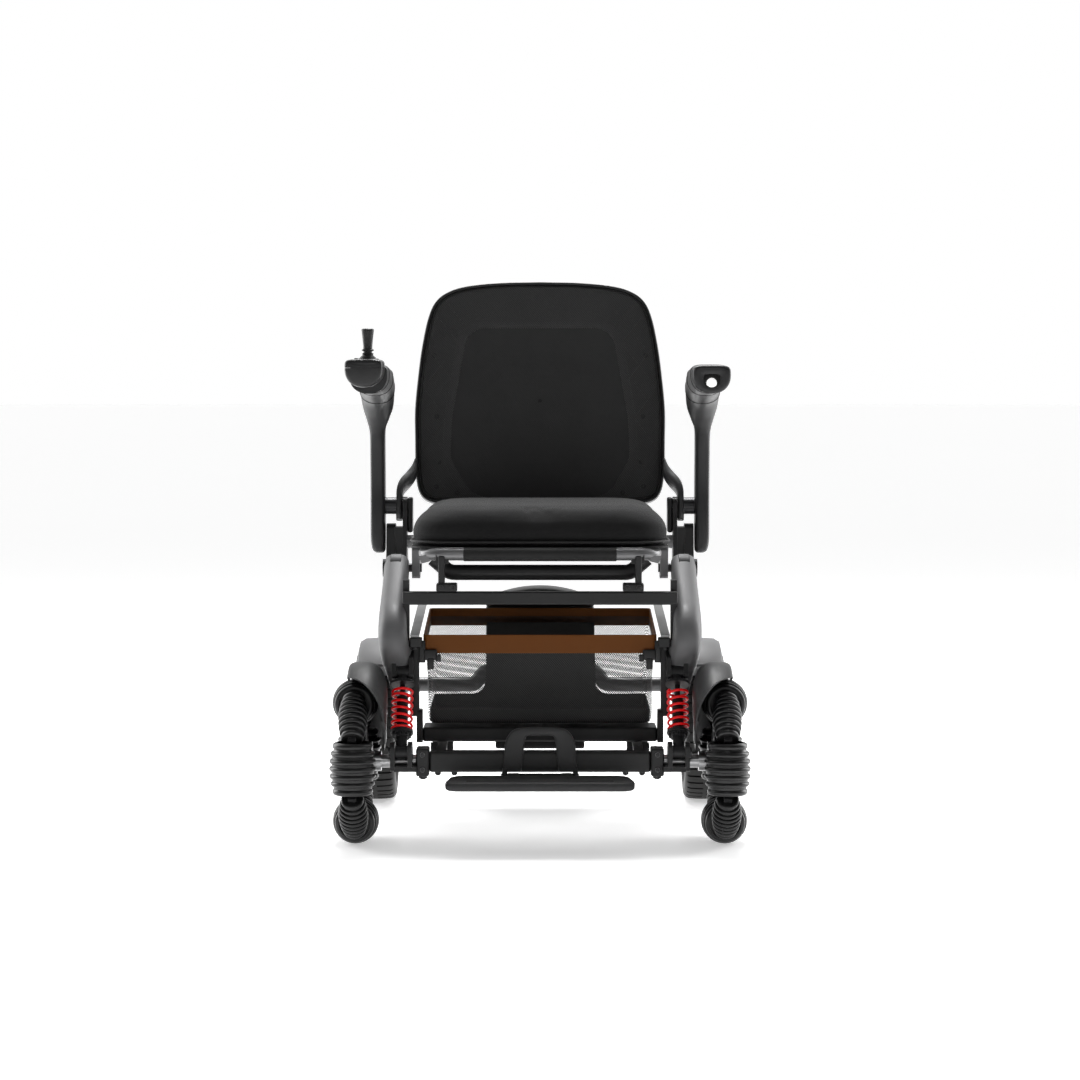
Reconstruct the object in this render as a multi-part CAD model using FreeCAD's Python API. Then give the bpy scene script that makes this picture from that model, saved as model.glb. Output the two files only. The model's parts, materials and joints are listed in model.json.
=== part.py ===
import FreeCAD, Part
import math
import os

V = FreeCAD.Vector

# Power wheelchair, millimetres. +Z up, front towards -Y, origin on the ground midway between the axles.

# ---- driving dimensions -------------------------------------------------------------------------
WHEELBASE = 500.0
TRACK = 560.0                 # between the middles of the front wheels
WHEEL_RADIUS = 125.0

BIG_ROLLER_RADIUS = 35.0
BIG_ROLLER_HALF = 39.5
SMALL_ROLLER_RADIUS = 22.5
SMALL_ROLLER_HALF = 40.0
ROLLER_PIN_RADIUS = 4.0
RUNNING_GAP = 0.05            # radial, between a pin and its bore
CUP_RADIUS = 24.0
CUP_DEPTH = 14.0
RIB_DEPTH = 3.2
ARM_HALF_THICKNESS = 6.0

PIVOT_HEIGHT = 403.0          # fold pivot above the ground
BEAM_INNER_X = 211.0
BEAM_WIDTH = 35.0
KNUCKLE_RADIUS = 22.0
TONGUE_WIDTH = 16.0
KNUCKLE_GAP = 0.6
FOLD_PIN_RADIUS = 7.0

RAIL_X = 192.0
RAIL_WIDTH = 14.0
POST_UPPER_X = (201.0, 210.5)  # upper part of each post, outside the rail
POST_LOWER_X = (186.0, 200.0)  # lower part, under the rail's bracket
POST_STEP_Z = 302.0
POST_Y = -174.0
CROSSBAR_Y = -190.0
CROSSBAR_Z = 369.0
CROSSBAR_SIZE = 20.0

TRAY_HALF_WIDTH = 181.0
TRAY_FRONT_Y = -172.0
TRAY_DEPTH = 76.0
TRAY_BOTTOM_Z = 145.0
TRAY_HEIGHT = 22.0

AXLE_BAR_HALF = 168.0
AXLE_BAR_SIZE = 31.0
AXLE_BAR_DEPTH = 32.0
END_BLOCK_LENGTH = 20.0
STUB_RADIUS = 10.0
ARM_PIVOT_Y = -110.0
ARM_PIVOT_Z = 128.0
ARM_X = 151.5
ARM_WIDTH = 15.0
ARM_PIN_RADIUS = 6.0

SHOCK_X = 210.0
SHOCK_EYE_WIDTH = 18.0
SHOCK_PIN_RADIUS = 5.0
SHOCK_BUSH_GAP = 1.0          # rubber bush of the lower eye
SHOCK_LOWER = (-270.0, 141.0)
SHOCK_UPPER = (-205.0, 256.0)
SPRING_RADIUS = 17.0
SPRING_WIRE = 2.5
SPRING_COILS = 6.5
CLEVIS_EAR = 7.0

GUARD_RADIUS = 148.0
GUARD_WALL = 3.0
GUARD_INNER_X = 238.0

HANGER_HALF_WIDTH = 57.0
HANGER_OPENING = 24.0
HANGER_TOP_Z = 176.0
HANGER_THICKNESS = 14.0
FOOT_PIN_INSET = 5.0          # foot plate's pin behind the hanger's front face
FOOT_PIN_Z = 106.0
FOOT_PIN_RADIUS = 4.0
PLATE_HALF_WIDTH = 147.0
PLATE_FRONT_Y = -373.0
PLATE_GAP = 14.0              # foot plate's rear edge ahead of its pin
PLATE_TOP_Z = 102.0
PLATE_THICKNESS = 12.0
KNUCKLE_X = 44.0
KNUCKLE_HALF = 8.0

TYRE_WIDTH = 66.0
REAR_TRACK = 544.0
RIM_RADIUS = 92.0

SEAT_HALF_WIDTH = 206.0
SEAT_FRONT_Y = -190.0
SEAT_REAR_Y = 200.0
CUSHION_BOTTOM = 447.0
CUSHION_HEIGHT = 58.0
SEAT_TUBE_RADIUS = 9.5
SEAT_TUBE_X = 178.0
SEAT_TUBE_Z = 436.0
REAR_TUBE_RADIUS = 11.0
REAR_TUBE_DROP = 2.5          # rear tube's middle below the side tubes'

SIDE_PIN_Y = 205.0
SIDE_PIN_Z = 492.0
SIDE_PIN_RADIUS = 7.0
PLATE_X = 219.0               # inner face of the hinge side plates

BACK_RECLINE = 14.0
BACK_HALF_WIDTH = 209.5
BACK_TOP_HALF = 176.0
BACK_BOTTOM_HALF = 196.0
BACK_HEIGHT = 382.0
BACK_RIM = 13.0
BACK_THICKNESS = 22.0
BACK_BOTTOM_Y = 232.0
BACK_BOTTOM_Z = 496.0

ARMREST_X = 265.0
ARMREST_WIDTH = 59.0
POST_INNER_X = 256.0
POST_OUTER_X = 279.0
ARM_FRONT_Y = -215.0
POD_LENGTH = 70.0
POD_TOP_Z = 735.0
BUTTON_RADIUS = 5.0
STICK_SETBACK = 36.0          # joystick ahead of the armrest's end
STICK_PIVOT_Z = 730.0
STICK_WELL = 15.0
ARM_TOP_Z = 728.0

BASKET_HALF_WIDTH = 178.0
BASKET_FRONT_Y = -188.0
BASKET_REAR_Y = 100.0
BASKET_BOTTOM_Z = 171.0
BASKET_TOP_Z = 312.0
BASKET_WALL = 3.0
BASKET_TAPER = 3.0            # each side, from the rim down to the bottom
RIM_SLOPE = 3.8               # degrees, up to the rear

BATTERY_HALF_WIDTH = 88.0
BATTERY_FRONT_Y = 120.0
BATTERY_DEPTH = 70.0
BATTERY_BOTTOM_Z = 166.0
BATTERY_TOP_Z = 340.0

FRONT_Y = -WHEELBASE / 2
REAR_Y = WHEELBASE / 2
WHEEL_X = TRACK / 2
REAR_X = REAR_TRACK / 2


# ---- helpers ------------------------------------------------------------------------------------
def box(x0, x1, y0, y1, z0, z1):
    """Block between two corners."""
    return Part.makeBox(x1 - x0, y1 - y0, z1 - z0, V(x0, y0, z0))


def soft_box(x0, x1, y0, y1, z0, z1, radius):
    """Block with every edge rounded."""
    block = box(x0, x1, y0, y1, z0, z1)
    return block.makeFillet(radius, block.Edges)


def cyl_x(x0, x1, y, z, radius):
    """Cylinder along X."""
    return Part.makeCylinder(radius, x1 - x0, V(x0, y, z), V(1, 0, 0))


def rounded_wire(points, radii):
    """Closed wire through corner points, each corner an arc of its own radius."""
    count = len(points)
    edges = []
    starts = []
    ends = []
    for i in range(count):
        corner = points[i]
        back = (points[i - 1] - corner).normalize()
        ahead = (points[(i + 1) % count] - corner).normalize()
        half = back.getAngle(ahead) / 2
        reach = radii[i] / math.tan(half)
        first = corner + back * reach
        last = corner + ahead * reach
        bisector = (back + ahead).normalize()
        centre = corner + bisector * (radii[i] / math.sin(half))
        middle = centre - bisector * radii[i]
        starts.append(first)
        ends.append(last)
        edges.append(Part.Arc(first, middle, last).toShape())
    for i in range(count):
        edges.append(Part.LineSegment(ends[i], starts[(i + 1) % count]).toShape())
    return Part.Wire(Part.__sortEdges__(edges))


def side_plate(outline, radii, x0, x1):
    """Flat plate of a rounded outline given as (y, z) corners, between two X planes."""
    points = [V(x0, y, z) for y, z in outline]
    if not isinstance(radii, (list, tuple)):
        radii = [radii] * len(points)
    return Part.Face(rounded_wire(points, radii)).extrude(V(x1 - x0, 0, 0))


def flat_plate(outline, radii, z0, z1):
    """Level plate of a rounded outline given as (x, y) corners."""
    points = [V(x, y, z0) for x, y in outline]
    if not isinstance(radii, (list, tuple)):
        radii = [radii] * len(points)
    return Part.Face(rounded_wire(points, radii)).extrude(V(0, 0, z1 - z0))


def front_plate(outline, radii, y0, y1):
    """Upright plate of a rounded outline given as (x, z) corners."""
    points = [V(x, y0, z) for x, z in outline]
    if not isinstance(radii, (list, tuple)):
        radii = [radii] * len(points)
    return Part.Face(rounded_wire(points, radii)).extrude(V(0, y1 - y0, 0))


def bent_tube(points, bends, radius):
    """Round bar along straight runs joined by tangent arcs."""
    edges = []
    here = points[0]
    for i in range(1, len(points) - 1):
        corner = points[i]
        back = (points[i - 1] - corner).normalize()
        ahead = (points[i + 1] - corner).normalize()
        half = back.getAngle(ahead) / 2
        reach = bends / math.tan(half)
        first = corner + back * reach
        last = corner + ahead * reach
        bisector = (back + ahead).normalize()
        middle = corner + bisector * (bends / math.sin(half) - bends)
        edges.append(Part.LineSegment(here, first).toShape())
        edges.append(Part.Arc(first, middle, last).toShape())
        here = last
    edges.append(Part.LineSegment(here, points[-1]).toShape())
    path = Part.Wire(edges)
    start = points[1] - points[0]
    section = Part.Wire(Part.Circle(points[0], start, radius).toShape())
    return path.makePipeShell([section], True, True)


def mirrored(shape):
    """The same piece on the other side of the chair."""
    return shape.mirror(V(0, 0, 0), V(1, 0, 0))


def pair(shape):
    """A piece and its mirror image, as two solids."""
    return Part.makeCompound([shape, mirrored(shape)])


def fuse(shapes):
    """One solid from touching shapes."""
    return shapes[0].multiFuse(shapes[1:]).removeSplitter()


def hex_bolt(point, axis, radius, height):
    """Bolt head: a flanged round head with a small crown."""
    head = Part.makeCylinder(radius, height, point, axis)
    crown = Part.makeCone(radius * 0.8, radius * 0.5, height * 0.4, point + axis * height, axis)
    return head.fuse(crown)


def save(name, shape):
    """Write one node."""
    shape.exportStep("parts/" + name + ".step")
    print(name, len(shape.Solids), "valid" if shape.isValid() else "INVALID", round(shape.Volume))


# ---- omni wheels --------------------------------------------------------------------------------
def ribbed_profile(half, ribs, outer_at, bore, cup_radius, cup_depth):
    """Half section of a ribbed roller in the XZ plane, turned about Z."""
    pitch = 2 * half / ribs
    groove = pitch * 0.16
    edges = []
    here = V(outer_at(-half) - RIB_DEPTH, 0, -half)
    start = here
    for i in range(ribs):
        low = -half + i * pitch + (groove if i else 0.0)
        high = -half + (i + 1) * pitch - (groove if i < ribs - 1 else 0.0)
        middle = (low + high) / 2
        first = V(outer_at(low) - RIB_DEPTH, 0, low)
        last = V(outer_at(high) - RIB_DEPTH, 0, high)
        if (first - here).Length > 1e-6:
            edges.append(Part.LineSegment(here, first).toShape())
        edges.append(Part.Arc(first, V(outer_at(middle), 0, middle), last).toShape())
        here = last
    inner = [V(bore, 0, half), V(bore, 0, -half)]
    if cup_radius:
        floor = half - cup_depth
        inner = [V(cup_radius, 0, half), V(cup_radius, 0, floor), V(bore, 0, floor),
                 V(bore, 0, -floor), V(cup_radius, 0, -floor), V(cup_radius, 0, -half)]
    for point in inner + [start]:
        edges.append(Part.LineSegment(here, point).toShape())
        here = point
    return Part.Wire(edges)


def roller(half, ribs, radius, cup_radius, cup_depth):
    """One barrel roller on the Z axis, its outline following the wheel's circle."""
    offset = WHEEL_RADIUS - radius

    def outer_at(along):
        return math.sqrt(WHEEL_RADIUS ** 2 - along ** 2) - offset

    bore = ROLLER_PIN_RADIUS + RUNNING_GAP
    wire = ribbed_profile(half, ribs, outer_at, bore, cup_radius, cup_depth)
    return Part.Face(wire).revolve(V(0, 0, 0), V(0, 0, 1), 360)


def on_wheel(shape, radius, angle, centre_x):
    """Put a shape made on the Z axis at a radius and angle on the rim of a front wheel."""
    placed = shape.copy()
    placed.translate(V(0, -radius, 0))
    placed.rotate(V(0, 0, 0), V(1, 0, 0), -angle)
    placed.translate(V(centre_x, FRONT_Y, WHEEL_RADIUS))
    return placed


def big_axis_radius():
    """Radius of the large rollers' pins from the wheel's axis."""
    return WHEEL_RADIUS - BIG_ROLLER_RADIUS


def small_axis_radius():
    """Radius of the small rollers' pins from the wheel's axis."""
    return WHEEL_RADIUS - SMALL_ROLLER_RADIUS


def arm_outline():
    """One roller arm, drawn beside the large roller on +U, as (outward, along) corners."""
    big = big_axis_radius()
    floor = BIG_ROLLER_HALF - CUP_DEPTH
    root = small_axis_radius() * math.sqrt(0.5)
    unit = math.sqrt(0.5)

    def beside_small(along, up):
        return (root + unit * along + unit * up, root - unit * along + unit * up)

    near = SMALL_ROLLER_HALF + 0.8
    far = SMALL_ROLLER_HALF + 7.0
    return [(41.0, 30.0), (60.0, BIG_ROLLER_HALF + 1.7), (67.0, BIG_ROLLER_HALF + 1.7),
            (big - 8.0, floor + 1.1), (big + 5.0, floor + 1.1),
            beside_small(far, -7.0), beside_small(far, 7.0), beside_small(near, 7.0),
            beside_small(near, -7.0), (big + 0.5, floor + 6.1), (big - 4.0, floor + 6.1),
            (78.0, 37.0), (64.0, 46.8), (57.0, 47.5), (34.0, 37.0)]


def wheel_spider(side):
    """Hub of one omni wheel: drum, eight roller arms and bolt heads on its outer face."""
    drum = Part.makeCylinder(52.0, 34.0, V(-17, 0, 0), V(1, 0, 0))
    drum = drum.fuse(Part.makeCylinder(30.0, 50.0, V(-25, 0, 0), V(1, 0, 0)))
    arm_points = [V(-ARM_HALF_THICKNESS, -out, along) for out, along in arm_outline()]
    arm = Part.Face(Part.makePolygon(arm_points + [arm_points[0]]))
    arm = arm.extrude(V(2 * ARM_HALF_THICKNESS, 0, 0))
    other = arm.mirror(V(0, 0, 0), V(0, 0, 1))
    pieces = [drum]
    for i in range(4):
        for one in (arm, other):
            turned = one.copy()
            turned.rotate(V(0, 0, 0), V(1, 0, 0), -90.0 * i)
            pieces.append(turned)
    spider = fuse(pieces)
    for i in range(5):
        turn = math.radians(72 * i + 18)
        pocket = V(17, 41 * math.cos(turn), 41 * math.sin(turn))
        spider = spider.cut(Part.makeCylinder(7.5, 12, pocket + V(-8, 0, 0), V(1, 0, 0)))
        spider = spider.cut(Part.makeCylinder(7.5, 12, V(-21, pocket.y, pocket.z), V(1, 0, 0)))
    spider.translate(V(side * WHEEL_X, FRONT_Y, WHEEL_RADIUS))
    bore = STUB_RADIUS + RUNNING_GAP
    spider = spider.cut(cyl_x(side * WHEEL_X - 40, side * WHEEL_X + 40, FRONT_Y, WHEEL_RADIUS, bore))
    return spider.cut(roller_pins(side))


def roller_pins(side):
    """The eight steel pins of one wheel's rollers."""
    big_reach = BIG_ROLLER_HALF - CUP_DEPTH + 6.1
    small_reach = SMALL_ROLLER_HALF + 6.0
    big = Part.makeCylinder(ROLLER_PIN_RADIUS, 2 * big_reach, V(0, 0, -big_reach))
    small = Part.makeCylinder(ROLLER_PIN_RADIUS, 2 * small_reach, V(0, 0, -small_reach))
    pins = []
    for i in range(4):
        pins.append(on_wheel(big, big_axis_radius(), 90 * i, side * WHEEL_X))
        pins.append(on_wheel(small, small_axis_radius(), 90 * i + 45, side * WHEEL_X))
    return Part.makeCompound(pins)


def save_omni_wheel(name, side):
    """Write the hub, pins and eight rollers of one front wheel."""
    save(name + "_omni_hub", Part.makeCompound([wheel_spider(side), roller_pins(side)]))
    big = roller(BIG_ROLLER_HALF, 7, BIG_ROLLER_RADIUS, CUP_RADIUS, CUP_DEPTH)
    small = roller(SMALL_ROLLER_HALF, 9, SMALL_ROLLER_RADIUS, 0, 0)
    for i in range(4):
        place = on_wheel(big, big_axis_radius(), 90 * i, side * WHEEL_X)
        save("%s_big_roller_%d" % (name, i + 1), place)
        place = on_wheel(small, small_axis_radius(), 90 * i + 45, side * WHEEL_X)
        save("%s_small_roller_%d" % (name, i + 1), place)


# ---- front axle ---------------------------------------------------------------------------------
def front_crossbar():
    """Axle beam between the end blocks, with its softened edges."""
    half = AXLE_BAR_HALF
    low = WHEEL_RADIUS - AXLE_BAR_SIZE / 2
    y0 = FRONT_Y - AXLE_BAR_DEPTH / 2
    return soft_box(-half, half, y0, y0 + AXLE_BAR_DEPTH, low, low + AXLE_BAR_SIZE, 4.0)


def axle_end_blocks():
    """End blocks with the forked ears that hold the shocks' lower eyes."""
    x0 = AXLE_BAR_HALF
    x1 = x0 + END_BLOCK_LENGTH
    block = soft_box(x0, x1, FRONT_Y - 22, FRONT_Y + 20, 104.0, 146.0, 3.0)
    inner = SHOCK_X - SHOCK_EYE_WIDTH / 2 - KNUCKLE_GAP - CLEVIS_EAR
    outer = SHOCK_X + SHOCK_EYE_WIDTH / 2 + KNUCKLE_GAP
    eye_y, eye_z = SHOCK_LOWER
    outline = [(eye_y - 14, 112), (FRONT_Y + 16, 112), (FRONT_Y + 16, 140), (eye_y + 12, 156),
               (eye_y - 14, 156)]
    ears = [side_plate(outline, 9.0, inner, inner + CLEVIS_EAR),
            side_plate(outline, 9.0, outer, outer + CLEVIS_EAR)]
    bridge = box(x1 - 1, outer + 1, eye_y - 12, FRONT_Y + 14, 112, 120)
    whole = fuse([block, bridge] + ears)
    stub = cyl_x(x0 - 10, WHEEL_X + 40, FRONT_Y, WHEEL_RADIUS, STUB_RADIUS)
    pin = cyl_x(inner - 5, outer + 20, eye_y, eye_z, SHOCK_PIN_RADIUS)
    return pair(whole.cut(stub).cut(pin))


def stub_axles():
    """Stub axles of the front wheels, each with a nut and washer at its outer end."""
    axle = cyl_x(AXLE_BAR_HALF + 4, WHEEL_X + 29, FRONT_Y, WHEEL_RADIUS, STUB_RADIUS)
    washer = cyl_x(WHEEL_X + 25.6, WHEEL_X + 28, FRONT_Y, WHEEL_RADIUS, 16.0)
    shoulder = cyl_x(GUARD_INNER_X + GUARD_WALL, WHEEL_X - 25.6, FRONT_Y, WHEEL_RADIUS, 15.0)
    return pair(fuse([axle, washer, shoulder]))


def shock_lower_pins():
    """Pins of the shocks' lower eyes, with heads outside the ears."""
    inner = SHOCK_X - SHOCK_EYE_WIDTH / 2 - KNUCKLE_GAP - CLEVIS_EAR
    outer = SHOCK_X + SHOCK_EYE_WIDTH / 2 + KNUCKLE_GAP + CLEVIS_EAR
    eye_y, eye_z = SHOCK_LOWER
    pin = cyl_x(inner, outer, eye_y, eye_z, SHOCK_PIN_RADIUS)
    head = cyl_x(outer, outer + 3, eye_y, eye_z, 8.0)
    return pair(pin.fuse(head))


def swing_arms():
    """Short arms from the axle beam back to their pivots under the tray."""
    x0 = ARM_X - ARM_WIDTH / 2
    front = FRONT_Y + AXLE_BAR_DEPTH / 2
    bar = side_plate([(front, 113), (ARM_PIVOT_Y, 116), (ARM_PIVOT_Y, 140), (front, 135)], 1.0,
                     x0, x0 + ARM_WIDTH)
    eye = cyl_x(x0, x0 + ARM_WIDTH, ARM_PIVOT_Y, ARM_PIVOT_Z, 12.0)
    arm = fuse([bar, eye])
    return pair(arm.cut(cyl_x(x0 - 5, x0 + 30, ARM_PIVOT_Y, ARM_PIVOT_Z, ARM_PIN_RADIUS + RUNNING_GAP)))


def crossbar_bolts():
    """Bolt heads under the axle beam and on its end blocks."""
    low = WHEEL_RADIUS - AXLE_BAR_SIZE / 2
    bolts = []
    for x in (130.0, 155.0):
        for y in (FRONT_Y - 8, FRONT_Y + 8):
            bolts.append(hex_bolt(V(x, y, low), V(0, 0, -1), 4.5, 4.0))
    bolts.append(hex_bolt(V(AXLE_BAR_HALF + 10, FRONT_Y, 104.0), V(0, 0, -1), 6.5, 5.0))
    for z in (114.0, 137.0):
        bolts.append(hex_bolt(V(AXLE_BAR_HALF + 10, FRONT_Y - 22, z), V(0, -1, 0), 3.6, 2.4))
    return pair(Part.makeCompound(bolts))


def mudguard():
    """Curved guard over one front wheel: a crown turned about the axle and an inner wall."""
    wall = GUARD_WALL
    inner = GUARD_INNER_X
    rim = GUARD_RADIUS
    bend = 42.0
    low = V(inner, 0, 40)
    knee = V(inner, 0, rim - bend)
    arc_mid = V(inner + bend * (1 - math.cos(math.pi / 4)), 0, rim - bend + bend * math.sin(math.pi / 4))
    crown = V(inner + bend, 0, rim)
    lip = V(WHEEL_X + 22, 0, rim - 2)
    section = [Part.LineSegment(low, knee).toShape(), Part.Arc(knee, arc_mid, crown).toShape(),
               Part.LineSegment(crown, lip).toShape()]
    small = bend - wall
    lip_in = V(WHEEL_X + 22, 0, rim - 2 - wall)
    crown_in = V(inner + bend, 0, rim - wall)
    mid_in = V(inner + bend - small * math.cos(math.pi / 4), 0,
               rim - bend + small * math.sin(math.pi / 4))
    knee_in = V(inner + wall, 0, rim - bend)
    low_in = V(inner + wall, 0, 40)
    section += [Part.LineSegment(lip, lip_in).toShape(), Part.LineSegment(lip_in, crown_in).toShape(),
                Part.Arc(crown_in, mid_in, knee_in).toShape(),
                Part.LineSegment(knee_in, low_in).toShape(), Part.LineSegment(low_in, low).toShape()]
    face = Part.Face(Part.Wire(section))
    face.rotate(V(0, 0, 0), V(1, 0, 0), 28.0)
    guard = face.revolve(V(0, 0, 0), V(1, 0, 0), -126.0)
    tab = Part.makeCylinder(24.0, wall, V(inner, 0, 0), V(1, 0, 0))
    leg = box(inner, inner + wall, -14, 24, 0, 50)
    leg.rotate(V(0, 0, 0), V(1, 0, 0), -35.0)
    guard = fuse([guard, tab, leg])
    guard.translate(V(0, FRONT_Y, WHEEL_RADIUS))
    return guard.cut(cyl_x(inner - 2, inner + 10, FRONT_Y, WHEEL_RADIUS, STUB_RADIUS))


# ---- shocks -------------------------------------------------------------------------------------
def shock_frame(shape):
    """Stand a shape made upright from the lower eye along the shock's own line."""
    y0, z0 = SHOCK_LOWER
    y1, z1 = SHOCK_UPPER
    lean = math.degrees(math.atan2(y1 - y0, z1 - z0))
    placed = shape.copy()
    placed.rotate(V(0, 0, 0), V(1, 0, 0), -lean)
    placed.translate(V(SHOCK_X, y0, z0))
    return placed


def shock_length():
    """Eye to eye at rest."""
    return math.hypot(SHOCK_UPPER[0] - SHOCK_LOWER[0], SHOCK_UPPER[1] - SHOCK_LOWER[1])


def eye_x(height, radius, bore):
    """Eye of a shock at a height on its line."""
    half = SHOCK_EYE_WIDTH / 2
    eye = Part.makeCylinder(radius, 2 * half, V(-half, 0, height), V(1, 0, 0))
    return eye, Part.makeCylinder(bore, 40, V(-20, 0, height), V(1, 0, 0))


def shock_tops():
    """Upper eyes with the spring cap and the damper rod."""
    length = shock_length()
    eye, bore = eye_x(length, 11.0, SHOCK_PIN_RADIUS + RUNNING_GAP)
    neck = Part.makeCylinder(9.0, 14.0, V(0, 0, length - 17))
    cap = Part.makeCylinder(SPRING_RADIUS + 1, 4.5, V(0, 0, length - 21.5))
    rod = Part.makeCylinder(4.0, 66.0, V(0, 0, length - 86))
    top = fuse([eye, neck, cap, rod])
    return pair(shock_frame(top.cut(bore)))


def shock_tubes():
    """Lower eyes with the damper tube that the rod slides in."""
    eye, bore = eye_x(0.0, 10.0, SHOCK_PIN_RADIUS + SHOCK_BUSH_GAP)
    tube = Part.makeCylinder(8.5, 86.0, V(0, 0, 4))
    tube = tube.fuse(Part.makeCylinder(8.0, 10.0, V(0, 0, 0)))
    whole = fuse([eye, tube])
    inside = Part.makeCylinder(4.0 + RUNNING_GAP, 80.0, V(0, 0, 20))
    return pair(shock_frame(whole.cut(inside).cut(bore)))


def spring_collars():
    """Castellated adjuster rings under the springs."""
    ring = Part.makeCylinder(SPRING_RADIUS + 0.5, 4.0, V(0, 0, 30.5))
    ring = ring.fuse(Part.makeCylinder(14.5, 6.0, V(0, 0, 24.5)))
    for i in range(12):
        turn = math.radians(30 * i)
        notch = V(14.5 * math.cos(turn), 14.5 * math.sin(turn), 24.0)
        ring = ring.cut(Part.makeCylinder(1.8, 5.0, notch))
    return pair(shock_frame(ring.cut(Part.makeCylinder(8.5, 20, V(0, 0, 20)))))


def shock_springs():
    """Coil springs between the adjuster ring and the cap."""
    low = 34.5 + SPRING_WIRE
    high = shock_length() - 21.5 - SPRING_WIRE
    pitch = (high - low) / SPRING_COILS
    middle = SPRING_RADIUS - SPRING_WIRE
    helix = Part.makeHelix(pitch, high - low, middle)
    section = Part.Wire(Part.Circle(V(middle, 0, 0), V(0, 1, 0), SPRING_WIRE).toShape())
    coil = Part.Wire(helix.Edges).makePipeShell([section], True, True)
    coil.translate(V(0, 0, low))
    return pair(shock_frame(coil))


def shock_clevises():
    """Forked brackets under the side beams for the shocks' upper eyes."""
    y, z = SHOCK_UPPER
    half = SHOCK_EYE_WIDTH / 2 + KNUCKLE_GAP
    outline = [(y - 13, z - 7), (y + 11, z - 18), (y + 21, z + 8), (y + 16, z + 34), (y - 8, z + 24)]
    ears = [side_plate(outline, 6.0, SHOCK_X - half - CLEVIS_EAR, SHOCK_X - half),
            side_plate(outline, 6.0, SHOCK_X + half, SHOCK_X + half + CLEVIS_EAR)]
    roof = box(SHOCK_X - half - 1, SHOCK_X + half + 1, y - 2, y + 14, z + 15, z + 26)
    pin = cyl_x(SHOCK_X - 30, SHOCK_X + 30, y, z, SHOCK_PIN_RADIUS)
    return pair(fuse([roof] + ears).cut(pin).cut(side_beam(1)))


def shock_upper_pins():
    """Pins of the shocks' upper eyes."""
    y, z = SHOCK_UPPER
    half = SHOCK_EYE_WIDTH / 2 + KNUCKLE_GAP + CLEVIS_EAR
    pin = cyl_x(SHOCK_X - half, SHOCK_X + half, y, z, SHOCK_PIN_RADIUS)
    return pair(pin)


# ---- front frame --------------------------------------------------------------------------------
def side_beam(side):
    """Curved grey side beam: upper run, knee and the lower run that leads in to the shock."""
    inner = BEAM_INNER_X
    outer = inner + BEAM_WIDTH
    upper = [(KNUCKLE_RADIUS * 0.2, PIVOT_HEIGHT + 22), (6, PIVOT_HEIGHT - 24),
             (-150, 316), (-176, 288), (-182, 262), (-206, 272), (-250, 300), (-244, 334),
             (-205, 352)]
    radii = [8, 8, 30, 30, 8, 8, 22, 30, 40]
    beam = side_plate(upper, radii, inner, outer)
    beam = beam.fuse(cyl_x(inner, outer, 0, PIVOT_HEIGHT, KNUCKLE_RADIUS))
    slot_half = TONGUE_WIDTH / 2 + KNUCKLE_GAP
    middle = inner + BEAM_WIDTH / 2
    reach = KNUCKLE_RADIUS + 3
    slot = box(middle - slot_half, middle + slot_half, -reach, 60, PIVOT_HEIGHT - 60,
               PIVOT_HEIGHT + 60)
    round_end = cyl_x(middle - slot_half, middle + slot_half, 0, PIVOT_HEIGHT, reach)
    beam = beam.cut(slot.fuse(round_end))
    lower = side_plate([(-182, 300), (-182, 222), (-212, 236), (-240, 290)], [4, 8, 8, 4],
                       inner + 18, outer - 10)
    beam = beam.fuse(lower)
    beam = beam.cut(cyl_x(inner - 5, outer + 5, 0, PIVOT_HEIGHT, FOLD_PIN_RADIUS))
    if side < 0:
        return mirrored(beam)
    return beam


def fold_pins():
    """Pins that the rear legs and the seat turn on, with round heads."""
    x0 = BEAM_INNER_X - 23
    x1 = BEAM_INNER_X + BEAM_WIDTH
    pin = cyl_x(x0, x1 + 1, 0, PIVOT_HEIGHT, FOLD_PIN_RADIUS)
    head = cyl_x(x1, x1 + 4, 0, PIVOT_HEIGHT, 14.0)
    return pair(pin.fuse(head))


def upper_crossbar():
    """Square tube between the side beams, under the front of the seat."""
    half = CROSSBAR_SIZE / 2
    bar = soft_box(-BEAM_INNER_X, BEAM_INNER_X, CROSSBAR_Y - half, CROSSBAR_Y + half,
                   CROSSBAR_Z - half, CROSSBAR_Z + half, 2.5)
    posts = hanger_posts()
    return bar.cut(posts)


def hanger_posts():
    """Upright posts that tie the crossbar, the rails and the tray to the side beams."""
    up0, up1 = POST_UPPER_X
    low0, low1 = POST_LOWER_X
    upper = box(up0, up1, POST_Y - 10, POST_Y + 10, POST_STEP_Z - 18, 396)
    step = box(low0, up1, POST_Y - 10, POST_Y + 10, POST_STEP_Z - 18, POST_STEP_Z)
    lower = box(low0, low1, POST_Y - 10, POST_Y + 10, 186, POST_STEP_Z - 17)
    lug = side_plate([(POST_Y - 12, 196), (POST_Y - 14, TRAY_BOTTOM_Z), (POST_Y + 26, TRAY_BOTTOM_Z),
                      (POST_Y + 16, 196)], 6.0, TRAY_HALF_WIDTH, TRAY_HALF_WIDTH + 9)
    tie = box(up1 - 1, BEAM_INNER_X, POST_Y - 8, POST_Y + 10, 306, 324)
    return pair(fuse([upper, step, lower, lug, tie]))


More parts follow.
